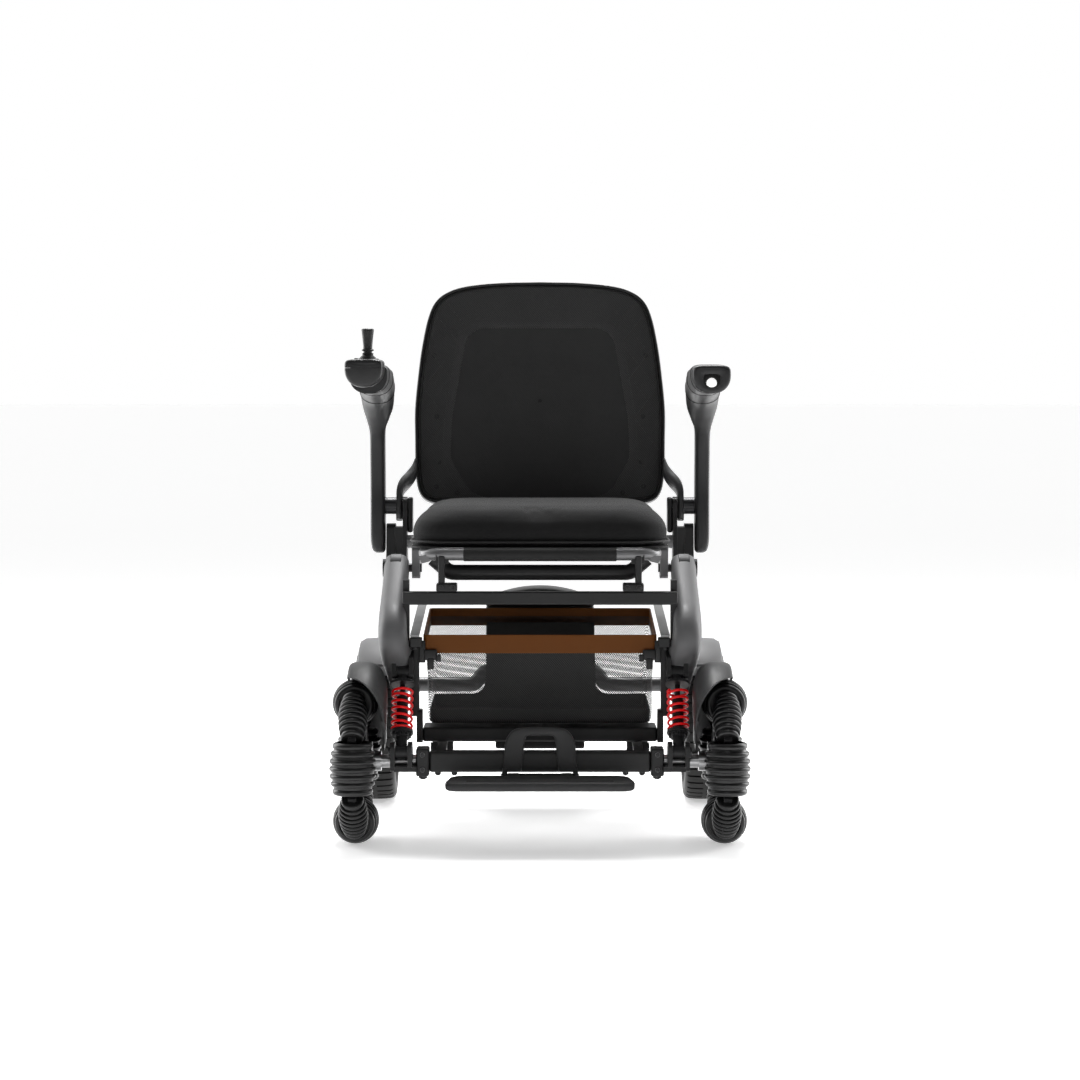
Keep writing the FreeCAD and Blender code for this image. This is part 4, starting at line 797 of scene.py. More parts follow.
def lathe(name: str, profile: Sequence[tuple[float, float]], centre: Vector, axis: Vector,
          count: int = 56) -> bpy.types.Object:
    """Turned piece.

    Args:
        name: its name.
        profile: (radius, distance along the axis) from one end to the other.
        centre: where the distance is 0.
        axis: the direction it is turned about.
        count: points round it.

    Returns:
        The object.
    """
    along = axis.normalized()
    side = along.orthogonal().normalized()
    other = along.cross(side)
    rings = []
    for radius, distance in profile:
        turn = np.linspace(0.0, TURN, count, endpoint=False)
        rings.append(np.array([centre + along * distance + (side * math.cos(a) + other * math.sin(a)) * radius
                               for a in turn]))
    return loft(name, rings)


def block(name: str, low: Sequence[float], high: Sequence[float], edge: float) -> bpy.types.Object:
    """Moulded block with rounded edges.

    Args:
        name: its name.
        low: lowest corner.
        high: highest corner.
        edge: radius of its edges.

    Returns:
        The object.
    """
    grid = bmesh.new()
    bmesh.ops.create_cube(grid, size=1.0)
    a, b = np.array(low, float), np.array(high, float)
    for vertex in grid.verts:
        vertex.co = Vector(((a + b) / 2 + np.array(vertex.co) * (b - a)).tolist())
    bmesh.ops.bevel(grid, geom=list(grid.edges), offset=edge, segments=3, profile=0.5, affect="EDGES")
    mesh = bpy.data.meshes.new(name)
    grid.to_mesh(mesh)
    grid.free()
    piece = bpy.data.objects.new(name, mesh)
    bpy.context.scene.collection.objects.link(piece)
    return piece


def tube_mesh(name: str, path: np.ndarray, radius: float, sides: int = 12,
              closed: bool = False) -> bpy.types.Object:
    """Round tube along a path.

    Args:
        name: its name.
        path: rows of points.
        radius: its radius.
        sides: points round it.
        closed: whether the path is a loop.

    Returns:
        The object.
    """
    total = len(path)
    if closed:
        tangents = np.roll(path, -1, axis=0) - np.roll(path, 1, axis=0)
    else:
        tangents = np.gradient(path, axis=0)
    tangents /= np.linalg.norm(tangents, axis=1)[:, None]
    normal = np.array(Vector(tangents[0]).orthogonal().normalized())
    angle = np.linspace(0.0, TURN, sides, endpoint=False)
    rings = []
    for i in range(total):
        normal = normal - tangents[i] * (normal @ tangents[i])
        normal /= np.linalg.norm(normal)
        other = np.cross(tangents[i], normal)
        rings.append(path[i] + radius * (np.cos(angle)[:, None] * normal + np.sin(angle)[:, None] * other))
    return loft(name, rings, closed=closed)


def dress(piece: bpy.types.Object, finish: Finish, body: str,
          stands_for: Sequence[str] = ()) -> bpy.types.Object:
    """Give a piece its finish, its body and the nodes that it stands for.

    Args:
        piece: the piece.
        finish: its finish.
        body: the body that it rides on.
        stands_for: nodes that it replaces.

    Returns:
        The same piece.
    """
    piece.data.materials.clear()
    piece.data.materials.append(finish.material())
    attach(piece, body)
    if stands_for:
        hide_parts(*stands_for)
    LOG.info("%s rides on %s", piece.name, body)
    return piece


# ---- studio ---------------------------------------------------------------------------------------
@dataclass
class Studio:
    """Pale floor, soft lights and the camera."""

    camera_distance: float = 5.0
    camera_height: float = 0.749
    camera_tilt: float = 3.29
    lens: float = 110.2
    axle_y: float = -0.25

    def build(self) -> None:
        """Make the camera, the floor, the sky and the lights."""
        self.camera()
        self.floor()
        self.sky()
        self.softbox("top_light", (0.0, 1.3, 3.0), (0.0, 0.0, 0.2), 1.3, 0.9, 105.0)
        self.softbox("left_light", (-2.3, 1.1, 1.2), (0.0, 0.0, 0.40), 1.2, 2.2, 46.0)
        self.softbox("right_light", (2.3, 1.1, 1.2), (0.0, 0.0, 0.40), 1.2, 2.2, 46.0)
        self.softbox("front_fill", (0.0, -4.2, 2.2), (0.0, 0.0, 0.5), 1.2, 0.8, 9.0)

    def camera(self) -> None:
        """Camera in front of the chair, tilted a little down."""
        lens = bpy.data.cameras.new("camera")
        lens.lens = self.lens
        lens.sensor_width = 36.0
        lens.clip_end = 200.0
        camera = bpy.data.objects.new("camera", lens)
        camera.location = (0.0, self.axle_y - self.camera_distance, self.camera_height)
        camera.rotation_euler = (math.radians(90.0 - self.camera_tilt), 0.0, 0.0)
        bpy.context.scene.collection.objects.link(camera)
        bpy.context.scene.camera = camera
        bpy.context.scene.view_settings.view_transform = "Standard"

    def floor(self) -> None:
        """White studio floor."""
        reach = 40.0
        floor = mesh_object("floor", np.array([(-reach, -reach, 0), (reach, -reach, 0), (reach, reach, 0),
                                               (-reach, reach, 0)]), [[0, 1, 2, 3]])
        made = bpy.data.materials.new("studio_floor")
        made.use_nodes = True
        shader = made.node_tree.nodes["Principled BSDF"]
        board = Board(made.node_tree)
        place = board.add("ShaderNodeTexCoord").outputs["Object"]
        tone = Finish.mix(board, board.noise(place, 0.8, 2.0), (0.93, 0.93, 0.93), (0.96, 0.96, 0.96))
        board.link(tone, shader.inputs["Base Color"])
        shader.inputs["Roughness"].default_value = 0.6
        shader.inputs["Specular IOR Level"].default_value = 0.2
        shader.inputs["Emission Color"].default_value = (1.0, 1.0, 1.0, 1.0)
        shader.inputs["Emission Strength"].default_value = 0.44
        floor.data.materials.append(made)

    def sky(self) -> None:
        """White surroundings that are darker in front of the chair, so that its front stays dark."""
        world = bpy.data.worlds.new("studio")
        bpy.context.scene.world = world
        world.use_nodes = True
        tree = world.node_tree
        board = Board(tree)
        glow = tree.nodes["Background"]
        way = board.add("ShaderNodeTexCoord").outputs["Generated"]
        split = board.add("ShaderNodeSeparateXYZ")
        board.link(way, split.inputs[0])
        ramp = board.add("ShaderNodeMapRange", interpolation_type="SMOOTHSTEP")
        board.link(split.outputs[1], ramp.inputs["Value"])
        ramp.inputs["From Min"].default_value = -0.55
        ramp.inputs["From Max"].default_value = 0.60
        ramp.inputs["To Min"].default_value = 0.035
        ramp.inputs["To Max"].default_value = 1.0
        seen = board.add("ShaderNodeLightPath").outputs["Is Camera Ray"]
        level = board.calc("MAXIMUM", ramp.outputs["Result"], seen)
        board.link(level, glow.inputs["Strength"])
        glow.inputs["Color"].default_value = (1.0, 1.0, 1.0, 1.0)

    @staticmethod
    def softbox(name: str, place: Sequence[float], aim: Sequence[float], wide: float, tall: float,
                power: float) -> None:
        """Rectangular soft light.

        Args:
            name: its name.
            place: where it stands.
            aim: the point it faces.
            wide: its width.
            tall: its height.
            power: watts.
        """
        light = bpy.data.lights.new(name, "AREA")
        light.shape = "RECTANGLE"
        light.size = wide
        light.size_y = tall
        light.energy = power
        lamp = bpy.data.objects.new(name, light)
        lamp.location = place
        lamp.rotation_euler = (Vector(aim) - Vector(place)).to_track_quat("-Z", "Y").to_euler()
        bpy.context.scene.collection.objects.link(lamp)


# ---- carried-over nodes ---------------------------------------------------------------------------
@dataclass
class FrameDressing:
    """Finishes of the nodes that keep their own shape."""

    finishes: dict[str, Finish] = field(default_factory=lambda: {
        "omni_hub": HUB_BLACK, "roller": BLACK_RUBBER, "front_crossbar": FRAME_BLACK,
        "axle_arms": FRAME_BLACK, "stub_axles": STEEL, "axle_fasteners": DARK_STEEL,
        "mudguards": GUARD_PLASTIC, "shock_tops": SHOCK_BLACK, "shock_tubes": SHOCK_BLACK,
        "shock_springs": SPRING_RED, "side_beam": BEAM_GREY,
        "frame_brackets": FRAME_BLACK, "frame_pins": DARK_STEEL, "cross_frame": FRAME_BLACK,
        "electronics_tray": BATTERY_PLASTIC, "basket_rails": RAIL_SILVER, "basket": NET_SOLID,
        "footrest_hanger": FOOT_PLASTIC, "foot_plate": FOOT_PLASTIC, "rear_legs": BEAM_GREY,
        "rear_crossbeam": GREY_METAL, "battery_box": BATTERY_PLASTIC, "rear_rim": MOTOR_BLACK,
        "rear_tyre": TYRE_RUBBER, "rear_axles": DARK_STEEL, "seat_frame": SEAT_TUBE, "seat_hoop": FRAME_BLACK,
        "seat_link_plates": FRAME_BLACK, "seat_pan": PAN_BOARD, "seat_cushion": SEAT_FABRIC,
        "hinge_side_plates": FRAME_BLACK, "side_pins": DARK_STEEL, "back_frame": BACK_RIM,
        "back_mesh": BACK_NET, "back_arms": BEAM_GREY, "armrest": ARM_PLASTIC, "joystick_pod": POD_PLASTIC,
        "pod_buttons": STICK_RUBBER, "joystick_ring": DARK_STEEL, "joystick_stick": STICK_RUBBER})

    def build(self) -> None:
        """Put the finish of its kind on every node."""
        for name, node in frame["nodes"].items():
            kind = max((k for k in self.finishes if k in name), key=len)
            material = self.finishes[kind].material()
            if not node.material_slots:
                node.data.materials.append(material)
            for place in node.material_slots:
                place.material = material
            LOG.info("%s has the finish of %s", name, kind)


# ---- frame shells ---------------------------------------------------------------------------------
@dataclass
class SideBeams:
    """Smooth grey shells of the side beams, from the fold pivot to the shock's bracket."""

    # y, z, inner x, outer x, half thickness across the run
    stations: tuple[tuple[float, ...], ...] = (
        (0.020, 0.411, 0.212, 0.244, 0.010), (0.014, 0.408, 0.209, 0.247, 0.017),
        (-0.002, 0.402, 0.208, 0.248, 0.021), (-0.070, 0.378, 0.207, 0.247, 0.022),
        (-0.140, 0.350, 0.206, 0.2475, 0.025), (-0.186, 0.328, 0.2045, 0.248, 0.030),
        (-0.203, 0.306, 0.202, 0.2475, 0.032), (-0.194, 0.284, 0.197, 0.2445, 0.025),
        (-0.180, 0.264, 0.194, 0.240, 0.018), (-0.174, 0.246, 0.202, 0.235, 0.012),
        (-0.172, 0.230, 0.214, 0.231, 0.007), (-0.172, 0.220, 0.2215, 0.229, 0.003))
    slot_half: float = 0.0087
    ring: int = 44
    steps: int = 7
    power: float = 2.7

    def build(self) -> None:
        """Make both beams."""
        for name, side in SIDES:
            piece = self.shell(f"{name}_beam_shell")
            if side < 0:
                flipped(piece)
            mend(piece, 50.0)
            dress(piece, BEAM_GREY, "front_frame", [f"{name}_side_beam"])

    def shell(self, name: str) -> bpy.types.Object:
        """Loft of one beam, with the slot for the rear leg's tongue.

        Args:
            name: the piece's name.

        Returns:
            The object, on the right-hand side.
        """
        beam = loft(name, swept_rings(smooth(self.stations, self.steps), self.ring, self.power))
        tongue = (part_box("rear_legs")[1].x + self.tongue_inner()) / 2
        cutter = block("cutter", (tongue - self.slot_half, -0.030, 0.340),
                       (tongue + self.slot_half, 0.080, 0.480), 0.001)
        mend(beam)
        cut = beam.modifiers.new("slot", "BOOLEAN")
        cut.object = cutter
        cut.solver = "EXACT"
        apply_modifiers(beam)
        bpy.data.objects.remove(cutter, do_unlink=True)
        return beam

    @staticmethod
    def tongue_inner() -> float:
        """Inner face of the rear leg's tongue."""
        rows = [v.co.x for v in frame["nodes"]["rear_legs"].data.vertices if v.co.x > 0]
        return min(rows)


@dataclass
class ShockSprings:
    """Red coil springs of the two shocks, with closed ends."""

    wire: float = 0.0020
    coil_radius: float = 0.0150
    turns: float = 6.6
    low_eye: tuple[float, float] = (-0.270, 0.141)
    start: float = 0.0365
    end: float = 0.1010
    shock_x: float = 0.210
    keep: float = 0.77

    def build(self) -> None:
        """Wind both springs as one piece that rides on the shock's upper part."""
        joint = next(j for j in frame["joints"] if j["name"] == "shock_travel")
        axis = Vector(joint["axis"])
        base = Vector((0.0, *self.low_eye))
        springs = []
        for side in BOTH:
            springs.append(tube_mesh("coil", self.path(side, base, axis), self.wire, 14))
        piece = mend(join("shock_coils", springs), 60.0)
        # Their finish glows a little: painted light that keeps the coils bright red.
        dress(piece, SPRING_RED, "shock_uppers", ["shock_springs"])
        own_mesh(piece)

    def path(self, side: float, base: Vector, axis: Vector) -> np.ndarray:
        """Middle line of one coil, whose end turns lie flat.

        Args:
            side: -1 left, 1 right.
            base: point on the axis at the lower eye.
            axis: direction of the shock.

        Returns:
            Rows of points.
        """
        share = np.linspace(0.0, 1.0, 420)
        flat_end = 0.09
        rise = np.clip((share - flat_end) / (1 - 2 * flat_end), 0.0, 1.0)
        along = self.start + self.wire + (self.end - self.start - 2 * self.wire) * rise
        along += self.wire * (np.clip(share / flat_end, 0, 1) - 1)
        turn = TURN * self.turns * share * side
        other = axis.cross(SIDEWAYS)
        points = []
        for a, distance in zip(turn, along):
            spin = SIDEWAYS * math.cos(a) + other * math.sin(a)
            points.append(base + axis * float(distance) + spin * self.coil_radius
                          + Vector((side * self.shock_x, 0.0, 0.0)))
        return np.array(points)


@dataclass
class FrontGuards:
    """Cowls over the inner side and top of the front wheels."""

    centre_y: float = -0.250
    centre_z: float = 0.125
    thickness: float = 0.0026
    # x and radius from the wheel's centre, from the outer lip to the inner wall
    section: tuple[tuple[float, float], ...] = (
        (0.2885, 0.1340), (0.2900, 0.1430), (0.2855, 0.1490), (0.2700, 0.1520), (0.2560, 0.1500),
        (0.2430, 0.1420), (0.2345, 0.1290), (0.2312, 0.1120), (0.2312, 0.0850), (0.2325, 0.0600))
    rear_wall_x: float = 0.2392
    front_outer: float = 20.0
    front_inner: float = 58.0
    rear_angle: float = -82.0
    steps: int = 44

    def build(self) -> None:
        """Make both cowls as one piece."""
        parts = []
        for side in BOTH:
            rows = smooth(self.section, 4)
            total = len(rows)
            points, faces = [], []
            for i, (x, radius) in enumerate(rows):
                share = i / (total - 1)
                swept = min(1.0, share * 1.25) ** 1.5
                lead = self.front_outer + (self.front_inner - self.front_outer) * swept
                for j in range(self.steps + 1):
                    angle = math.radians(self.rear_angle + (lead - self.rear_angle) * j / self.steps)
                    back = min(1.0, max(0.0, (math.radians(4.0) - angle) / math.radians(22.0)))
                    wide = max(x, x + (self.rear_wall_x - x) * back) if x < self.rear_wall_x else x
                    points.append((side * wide, self.centre_y - radius * math.sin(angle),
                                   self.centre_z + radius * math.cos(angle)))
            row = self.steps + 1
            for i in range(total - 1):
                for j in range(self.steps):
                    quad = [i * row + j, (i + 1) * row + j, (i + 1) * row + j + 1, i * row + j + 1]
                    faces.append(quad if side < 0 else quad[::-1])
            parts.append(mesh_object("cowl", np.array(points), faces))
        piece = thicken(mend(join("front_cowls", parts)), self.thickness)
        dress(mend(piece, 50.0), GUARD_PLASTIC, "front_axle", ["mudguards"])


@dataclass
class RearFenders:
    """Rounded grey fenders over the rear wheels."""

    centre_y: float = 0.250
    centre_z: float = 0.125
    front_angle: float = 41.0
    rear_angle: float = -70.0
    steps: int = 40
    # x and radius round the section, closed
    section: tuple[tuple[float, float], ...] = (
        (0.2350, 0.1290), (0.2342, 0.1380), (0.2390, 0.1432), (0.2650, 0.1445), (0.2900, 0.1432),
        (0.2990, 0.1380), (0.3020, 0.1250), (0.2995, 0.1250), (0.2960, 0.1350), (0.2890, 0.1384),
        (0.2450, 0.1384), (0.2395, 0.1350), (0.2385, 0.1290))

    def build(self) -> None:
        """Make both fenders as one piece."""
        parts = []
        for side in BOTH:
            rings = []
            for angle in np.radians(np.linspace(self.rear_angle, self.front_angle, self.steps)):
                rings.append(np.array([(side * x, self.centre_y - r * math.sin(angle),
                                        self.centre_z + r * math.cos(angle)) for x, r in self.section]))
            parts.append(loft("fender", rings))
            lip = math.radians(self.front_angle)
            low, high = 0.1215, 0.1425
            ends = []
            for turn in np.linspace(0.0, 0.05, 5):
                flat = rounded_outline([(0.2355, low), (0.2985, low), (0.2975, high), (0.2365, high)],
                                       [0.004, 0.006, 0.009, 0.005], 60)
                ends.append(np.array([(side * x, self.centre_y - r * math.sin(lip + turn),
                                       self.centre_z + r * math.cos(lip + turn)) for x, r in flat]))
            parts.append(loft("fender_end", ends))
        dress(mend(join("rear_fender_shells", parts), 40.0), FENDER_GREY, "rear_frame")


@dataclass
class Footrest:
    """Hanger with its opening, and the plate that folds up from it."""

    # half width and height of the hanger's outer edge, from the foot to the middle of the top
    outer: tuple[tuple[float, float], ...] = (
        (0.0580, 0.1130), (0.0562, 0.1200), (0.0545, 0.1400), (0.0520, 0.1590), (0.0440, 0.1725),
        (0.0310, 0.1785), (0.0, 0.1800))
    inner: tuple[tuple[float, float], ...] = (
        (0.0280, 0.1130), (0.0272, 0.1200), (0.0250, 0.1400), (0.0228, 0.1590), (0.0200, 0.1660),
        (0.0150, 0.1672), (0.0, 0.1675))
    front_y: float = -0.2850
    depth: float = 0.0140

    def build(self) -> None:
        """Make the hanger and the plate."""
        self.hanger()
        self.plate()

    def hanger(self) -> None:
        """Arched hanger with rounded faces."""
        rings = []
        for a, b in zip(both_halves(smooth(self.outer, 8)), both_halves(smooth(self.inner, 8))):
            middle, half = (a + b) / 2, (a - b) / 2
            shape = superellipse(20, 1.0, self.depth / 2, self.depth / 2, 5.0)
            rings.append(np.array([(middle[0] + half[0] * u, self.front_y + self.depth / 2 + v,
                                    middle[1] + half[1] * u) for u, v in shape]))
        arch = loft("arch", rings)
        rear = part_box("footrest_hanger")[1].y
        arms = [block("arm", (side * 0.040 - 0.010, self.front_y + 0.008, 0.116),
                      (side * 0.040 + 0.010, rear, 0.134), 0.003) for side in BOTH]
        pin = lathe("pin", [(0.0038, -0.056), (0.0038, 0.056)], Vector((0.0, -0.281, 0.106)), SIDEWAYS, 20)
        lugs = [block("lug", (side * 0.0535 - 0.004, -0.286, 0.101),
                      (side * 0.0535 + 0.004, -0.274, 0.118), 0.002) for side in BOTH]
        piece = mend(join("foot_hanger", [arch, pin, *arms, *lugs]), 40.0)
        dress(piece, FOOT_PLASTIC, "front_frame", ["footrest_hanger"])

    def plate(self) -> None:
        """Plate with rounded ends, a little higher at its rear edge."""
        # inset, and height at the front and at the rear
        layers = ((0.0120, 0.0942, 0.0945), (0.0030, 0.0938, 0.0950), (0.0006, 0.0955, 0.0985),
                  (0.0000, 0.0990, 0.1035), (0.0002, 0.1030, 0.1070), (0.0016, 0.1056, 0.1092),
                  (0.0050, 0.1066, 0.1102), (0.0110, 0.1063, 0.1100), (0.0220, 0.1060, 0.1098))
        rear, front = -0.3005, -0.3720
        rings = []
        for inset, low, high in layers:
            corners = [(-0.1455 + inset, front + inset), (0.1455 - inset, front + inset),
                       (0.1330 - inset, rear - inset), (-0.1330 + inset, rear - inset)]
            corner = max(0.004, 0.020 - inset * 0.6)
            flat = rounded_outline(corners, [corner] * 4, 220)
            share = (flat[:, 1] - front) / (rear - front)
            rings.append(np.column_stack([flat, low + (high - low) * share]))
        body = loft("plate", rings)
        lugs = [block("lug", (side * 0.040 - 0.0095, -0.306, 0.099),
                      (side * 0.040 + 0.0095, -0.2765, 0.1105), 0.0035) for side in BOTH]
        ribs = [block("rib", (-0.110, y - 0.0012, 0.1052), (0.110, y + 0.0012, 0.1080), 0.0008)
                for y in (-0.355, -0.345, -0.335)]
        piece = mend(join("foot_plate_shell", [body, *lugs, *ribs]), 40.0)
        dress(piece, FOOT_PLASTIC, "foot_plate_body", ["foot_plate"])


@dataclass
class Battery:
    """Battery case behind the basket, with its domed grey lid."""

    dome_radius: float = 0.200
    top: float = 0.3620

    def build(self) -> None:
        """Make the case and the lid."""
        low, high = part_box("battery_box")
        half = high.x
        rim = self.top - (self.dome_radius - math.sqrt(self.dome_radius ** 2 - half ** 2))
        case = mend(block("battery_case", (-half, low.y, low.z), (half, high.y, rim - 0.006), 0.007), 50.0)
        dress(case, BATTERY_PLASTIC, "rear_frame", ["battery_box"])
        rings = []
        for x in np.linspace(-half, half, 41):
            crown = self.top - (self.dome_radius - math.sqrt(self.dome_radius ** 2 - x * x))
            end = 1.0 - 0.10 * max(0.0, (abs(x) - half + 0.008) / 0.008) ** 2
            tall, deep = (crown - rim + 0.010) / 2 * end, (high.y - low.y) / 2 * end
            shape = superellipse(28, deep, tall, tall, 5.0)
            rings.append(np.array([(x, (low.y + high.y) / 2 + u, (crown + rim - 0.010) / 2 + v)
                                   for u, v in shape]))
        dress(mend(loft("battery_lid", rings), 40.0), FENDER_GREY, "rear_frame")
        reach = half * 0.82
        grooves = [block("groove", (-reach, low.y - 0.0006, z), (reach, low.y + 0.002, z + 0.0022), 0.0008)
                   for z in (0.215, 0.300)]
        dress(mend(join("battery_grooves", grooves)), GROOVE_BLACK, "rear_frame")


# ---- basket ---------------------------------------------------------------------------------------
@dataclass
class Basket:
    """Net basket under the seat: leather band, net walls, closed base and clips."""

    band_height: float = 0.0285
    band_thickness: float = 0.0026
    corner: float = 0.007
    slope: float = math.tan(math.radians(3.8))
    points: int = 420
    base_rise: float = 0.023
    window_edge: float = 0.110
    pocket_edge: float = 0.088
    cloth: float = 0.0012
    keep: float = 0.45

    def build(self) -> None:
        """Make the band, the net, the base and the clips."""
        self.low, self.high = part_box("basket")
        self.front_top = self.high.z - (self.high.y - self.low.y) * self.slope
        band = self.band()
        net = self.net()
        base = self.base()
        for piece in (band, net, base):
            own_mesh(piece)
        self.clips()

    def outline(self, inset: float, taper: float) -> np.ndarray:
        """Outline of the basket seen from above.

        Args:
            inset: how far inside the rim.
            taper: how far the ends have come in towards the base, from 0 to 1.

        Returns:
            Rows of (x, y).
        """
        wide = self.high.x + 0.0015 - inset - 0.003 * taper
        front = self.low.y + inset + 0.022 * taper
        rear = self.high.y - inset - 0.018 * taper
        corners = [(-wide, front), (wide, front), (wide, rear), (-wide, rear)]
        return rounded_outline(corners, [self.corner + 0.004 * taper] * 4, self.points)

    def rim_height(self, y: np.ndarray) -> np.ndarray:
        """Height of the rim at a distance along the chair."""
        return self.front_top + (y - self.low.y) * self.slope

    def band(self) -> bpy.types.Object:
        """Leather band round the rim.

        Returns:
            The band.
        """
        section = superellipse(20, self.band_thickness / 2, self.band_height / 2, self.band_height / 2, 7.0)
        rings = []
        for u, v in section:
            flat = self.outline(self.band_thickness / 2 - u, 0.0)
            height = self.rim_height(flat[:, 1]) - self.band_height / 2 + v
            rings.append(np.column_stack([flat, height]))
        piece = mend(loft("basket_band", rings, closed=True), 40.0)
        return dress(piece, LEATHER_BROWN, "front_frame")

    def net(self) -> bpy.types.Object:
        """Net walls and bottom, one sheet.

        Returns:
            The net.
        """
        floor = self.low.z + 0.0006
        # share of the wall's height, and the inset there
        profile = [(1.0, 0.0030), (0.94, 0.0030), (0.8, 0.0036), (0.6, 0.0046), (0.4, 0.0046), (0.25, 0.0040),
                   (0.14, 0.0034), (0.06, 0.0040), (0.03, 0.0056), (0.008, 0.0088), (0.0, 0.0140)]
        rings = []
        for share, inset in profile:
            flat = self.outline(inset, 1.0 - share)
            top = self.rim_height(flat[:, 1]) - self.band_height * 0.45
            rings.append(np.column_stack([flat, floor + (top - floor) * share]))
        foot = rings[-1]
        middle = foot.mean(axis=0)
        rings += [middle + (foot - middle) * shrink for shrink in (0.7, 0.35, 0.02)]
        piece = loft("basket_net", rings, caps=False)
        shade_smooth(piece)
        return dress(piece, NET_BLACK, "front_frame", ["basket"])

    def base_edge(self, flat: np.ndarray) -> np.ndarray:
        """Top edge of the closed base: low all round, with a tall pocket at the middle of the rear wall.

        Args:
            flat: rows of (x, y) on the outline.

        Returns:
            Height of the edge at each.
        """
        floor = self.low.z + self.base_rise
        fillet = self.window_edge - self.pocket_edge
        reach = np.clip((self.window_edge - np.abs(flat[:, 0])) / fillet, 0.0, 1.0)
        curve = floor + fillet * (1 - np.sqrt(1 - reach * reach))
        tall = np.where(np.abs(flat[:, 0]) < self.pocket_edge, self.rim_height(flat[:, 1]) - 0.02, curve)
        return np.where(flat[:, 1] > self.high.y - 0.06, tall, floor)

    def base(self) -> bpy.types.Object:
        """Closed base of the basket, a shallow cloth tray.

        Returns:
            The base.
        """
        rings = []
        top = self.base_edge(self.outline(0.006, 1.0))
        for share, inset in ((1.0, 0.0060), (0.6, 0.0060), (0.3, 0.0062), (0.12, 0.0070), (0.03, 0.0100),
                             (0.0, 0.0160)):
            flat = self.outline(inset, 1.0)
            low = self.low.z + 0.0008
            rings.append(np.column_stack([flat, low + (top - low) * share]))
        foot = rings[-1]
        middle = foot.mean(axis=0)
        rings += [middle + (foot - middle) * shrink for shrink in (0.6, 0.2)]
        piece = thicken(mend(panel("basket_base_cloth", rings)), self.cloth)
        return dress(mend(piece, 50.0), NET_SOLID, "front_frame")

    def clips(self) -> None:
        """Black clips that hold the band to the rails and the posts."""
        # x from and to, height from and to below the band, and depth
        slabs = ((0.158, 0.178, -0.010, 0.006, 0.003), (0.163, 0.173, -0.024, -0.006, 0.004),
                 (0.152, 0.160, -0.012, -0.001, 0.006), (0.176, 0.186, -0.014, 0.020, 0.001))
        y = self.low.y - 0.004
        z = self.front_top - self.band_height
        parts = []
        for side in BOTH:
            for inner, outer, under, over, depth in slabs:
                a, b = sorted((side * inner, side * outer))
                parts.append(block("clip", (a, y - depth, z + under), (b, y + 0.004, z + over), 0.0016))
        dress(mend(join("basket_clips", parts)), FRAME_BLACK, "front_frame")


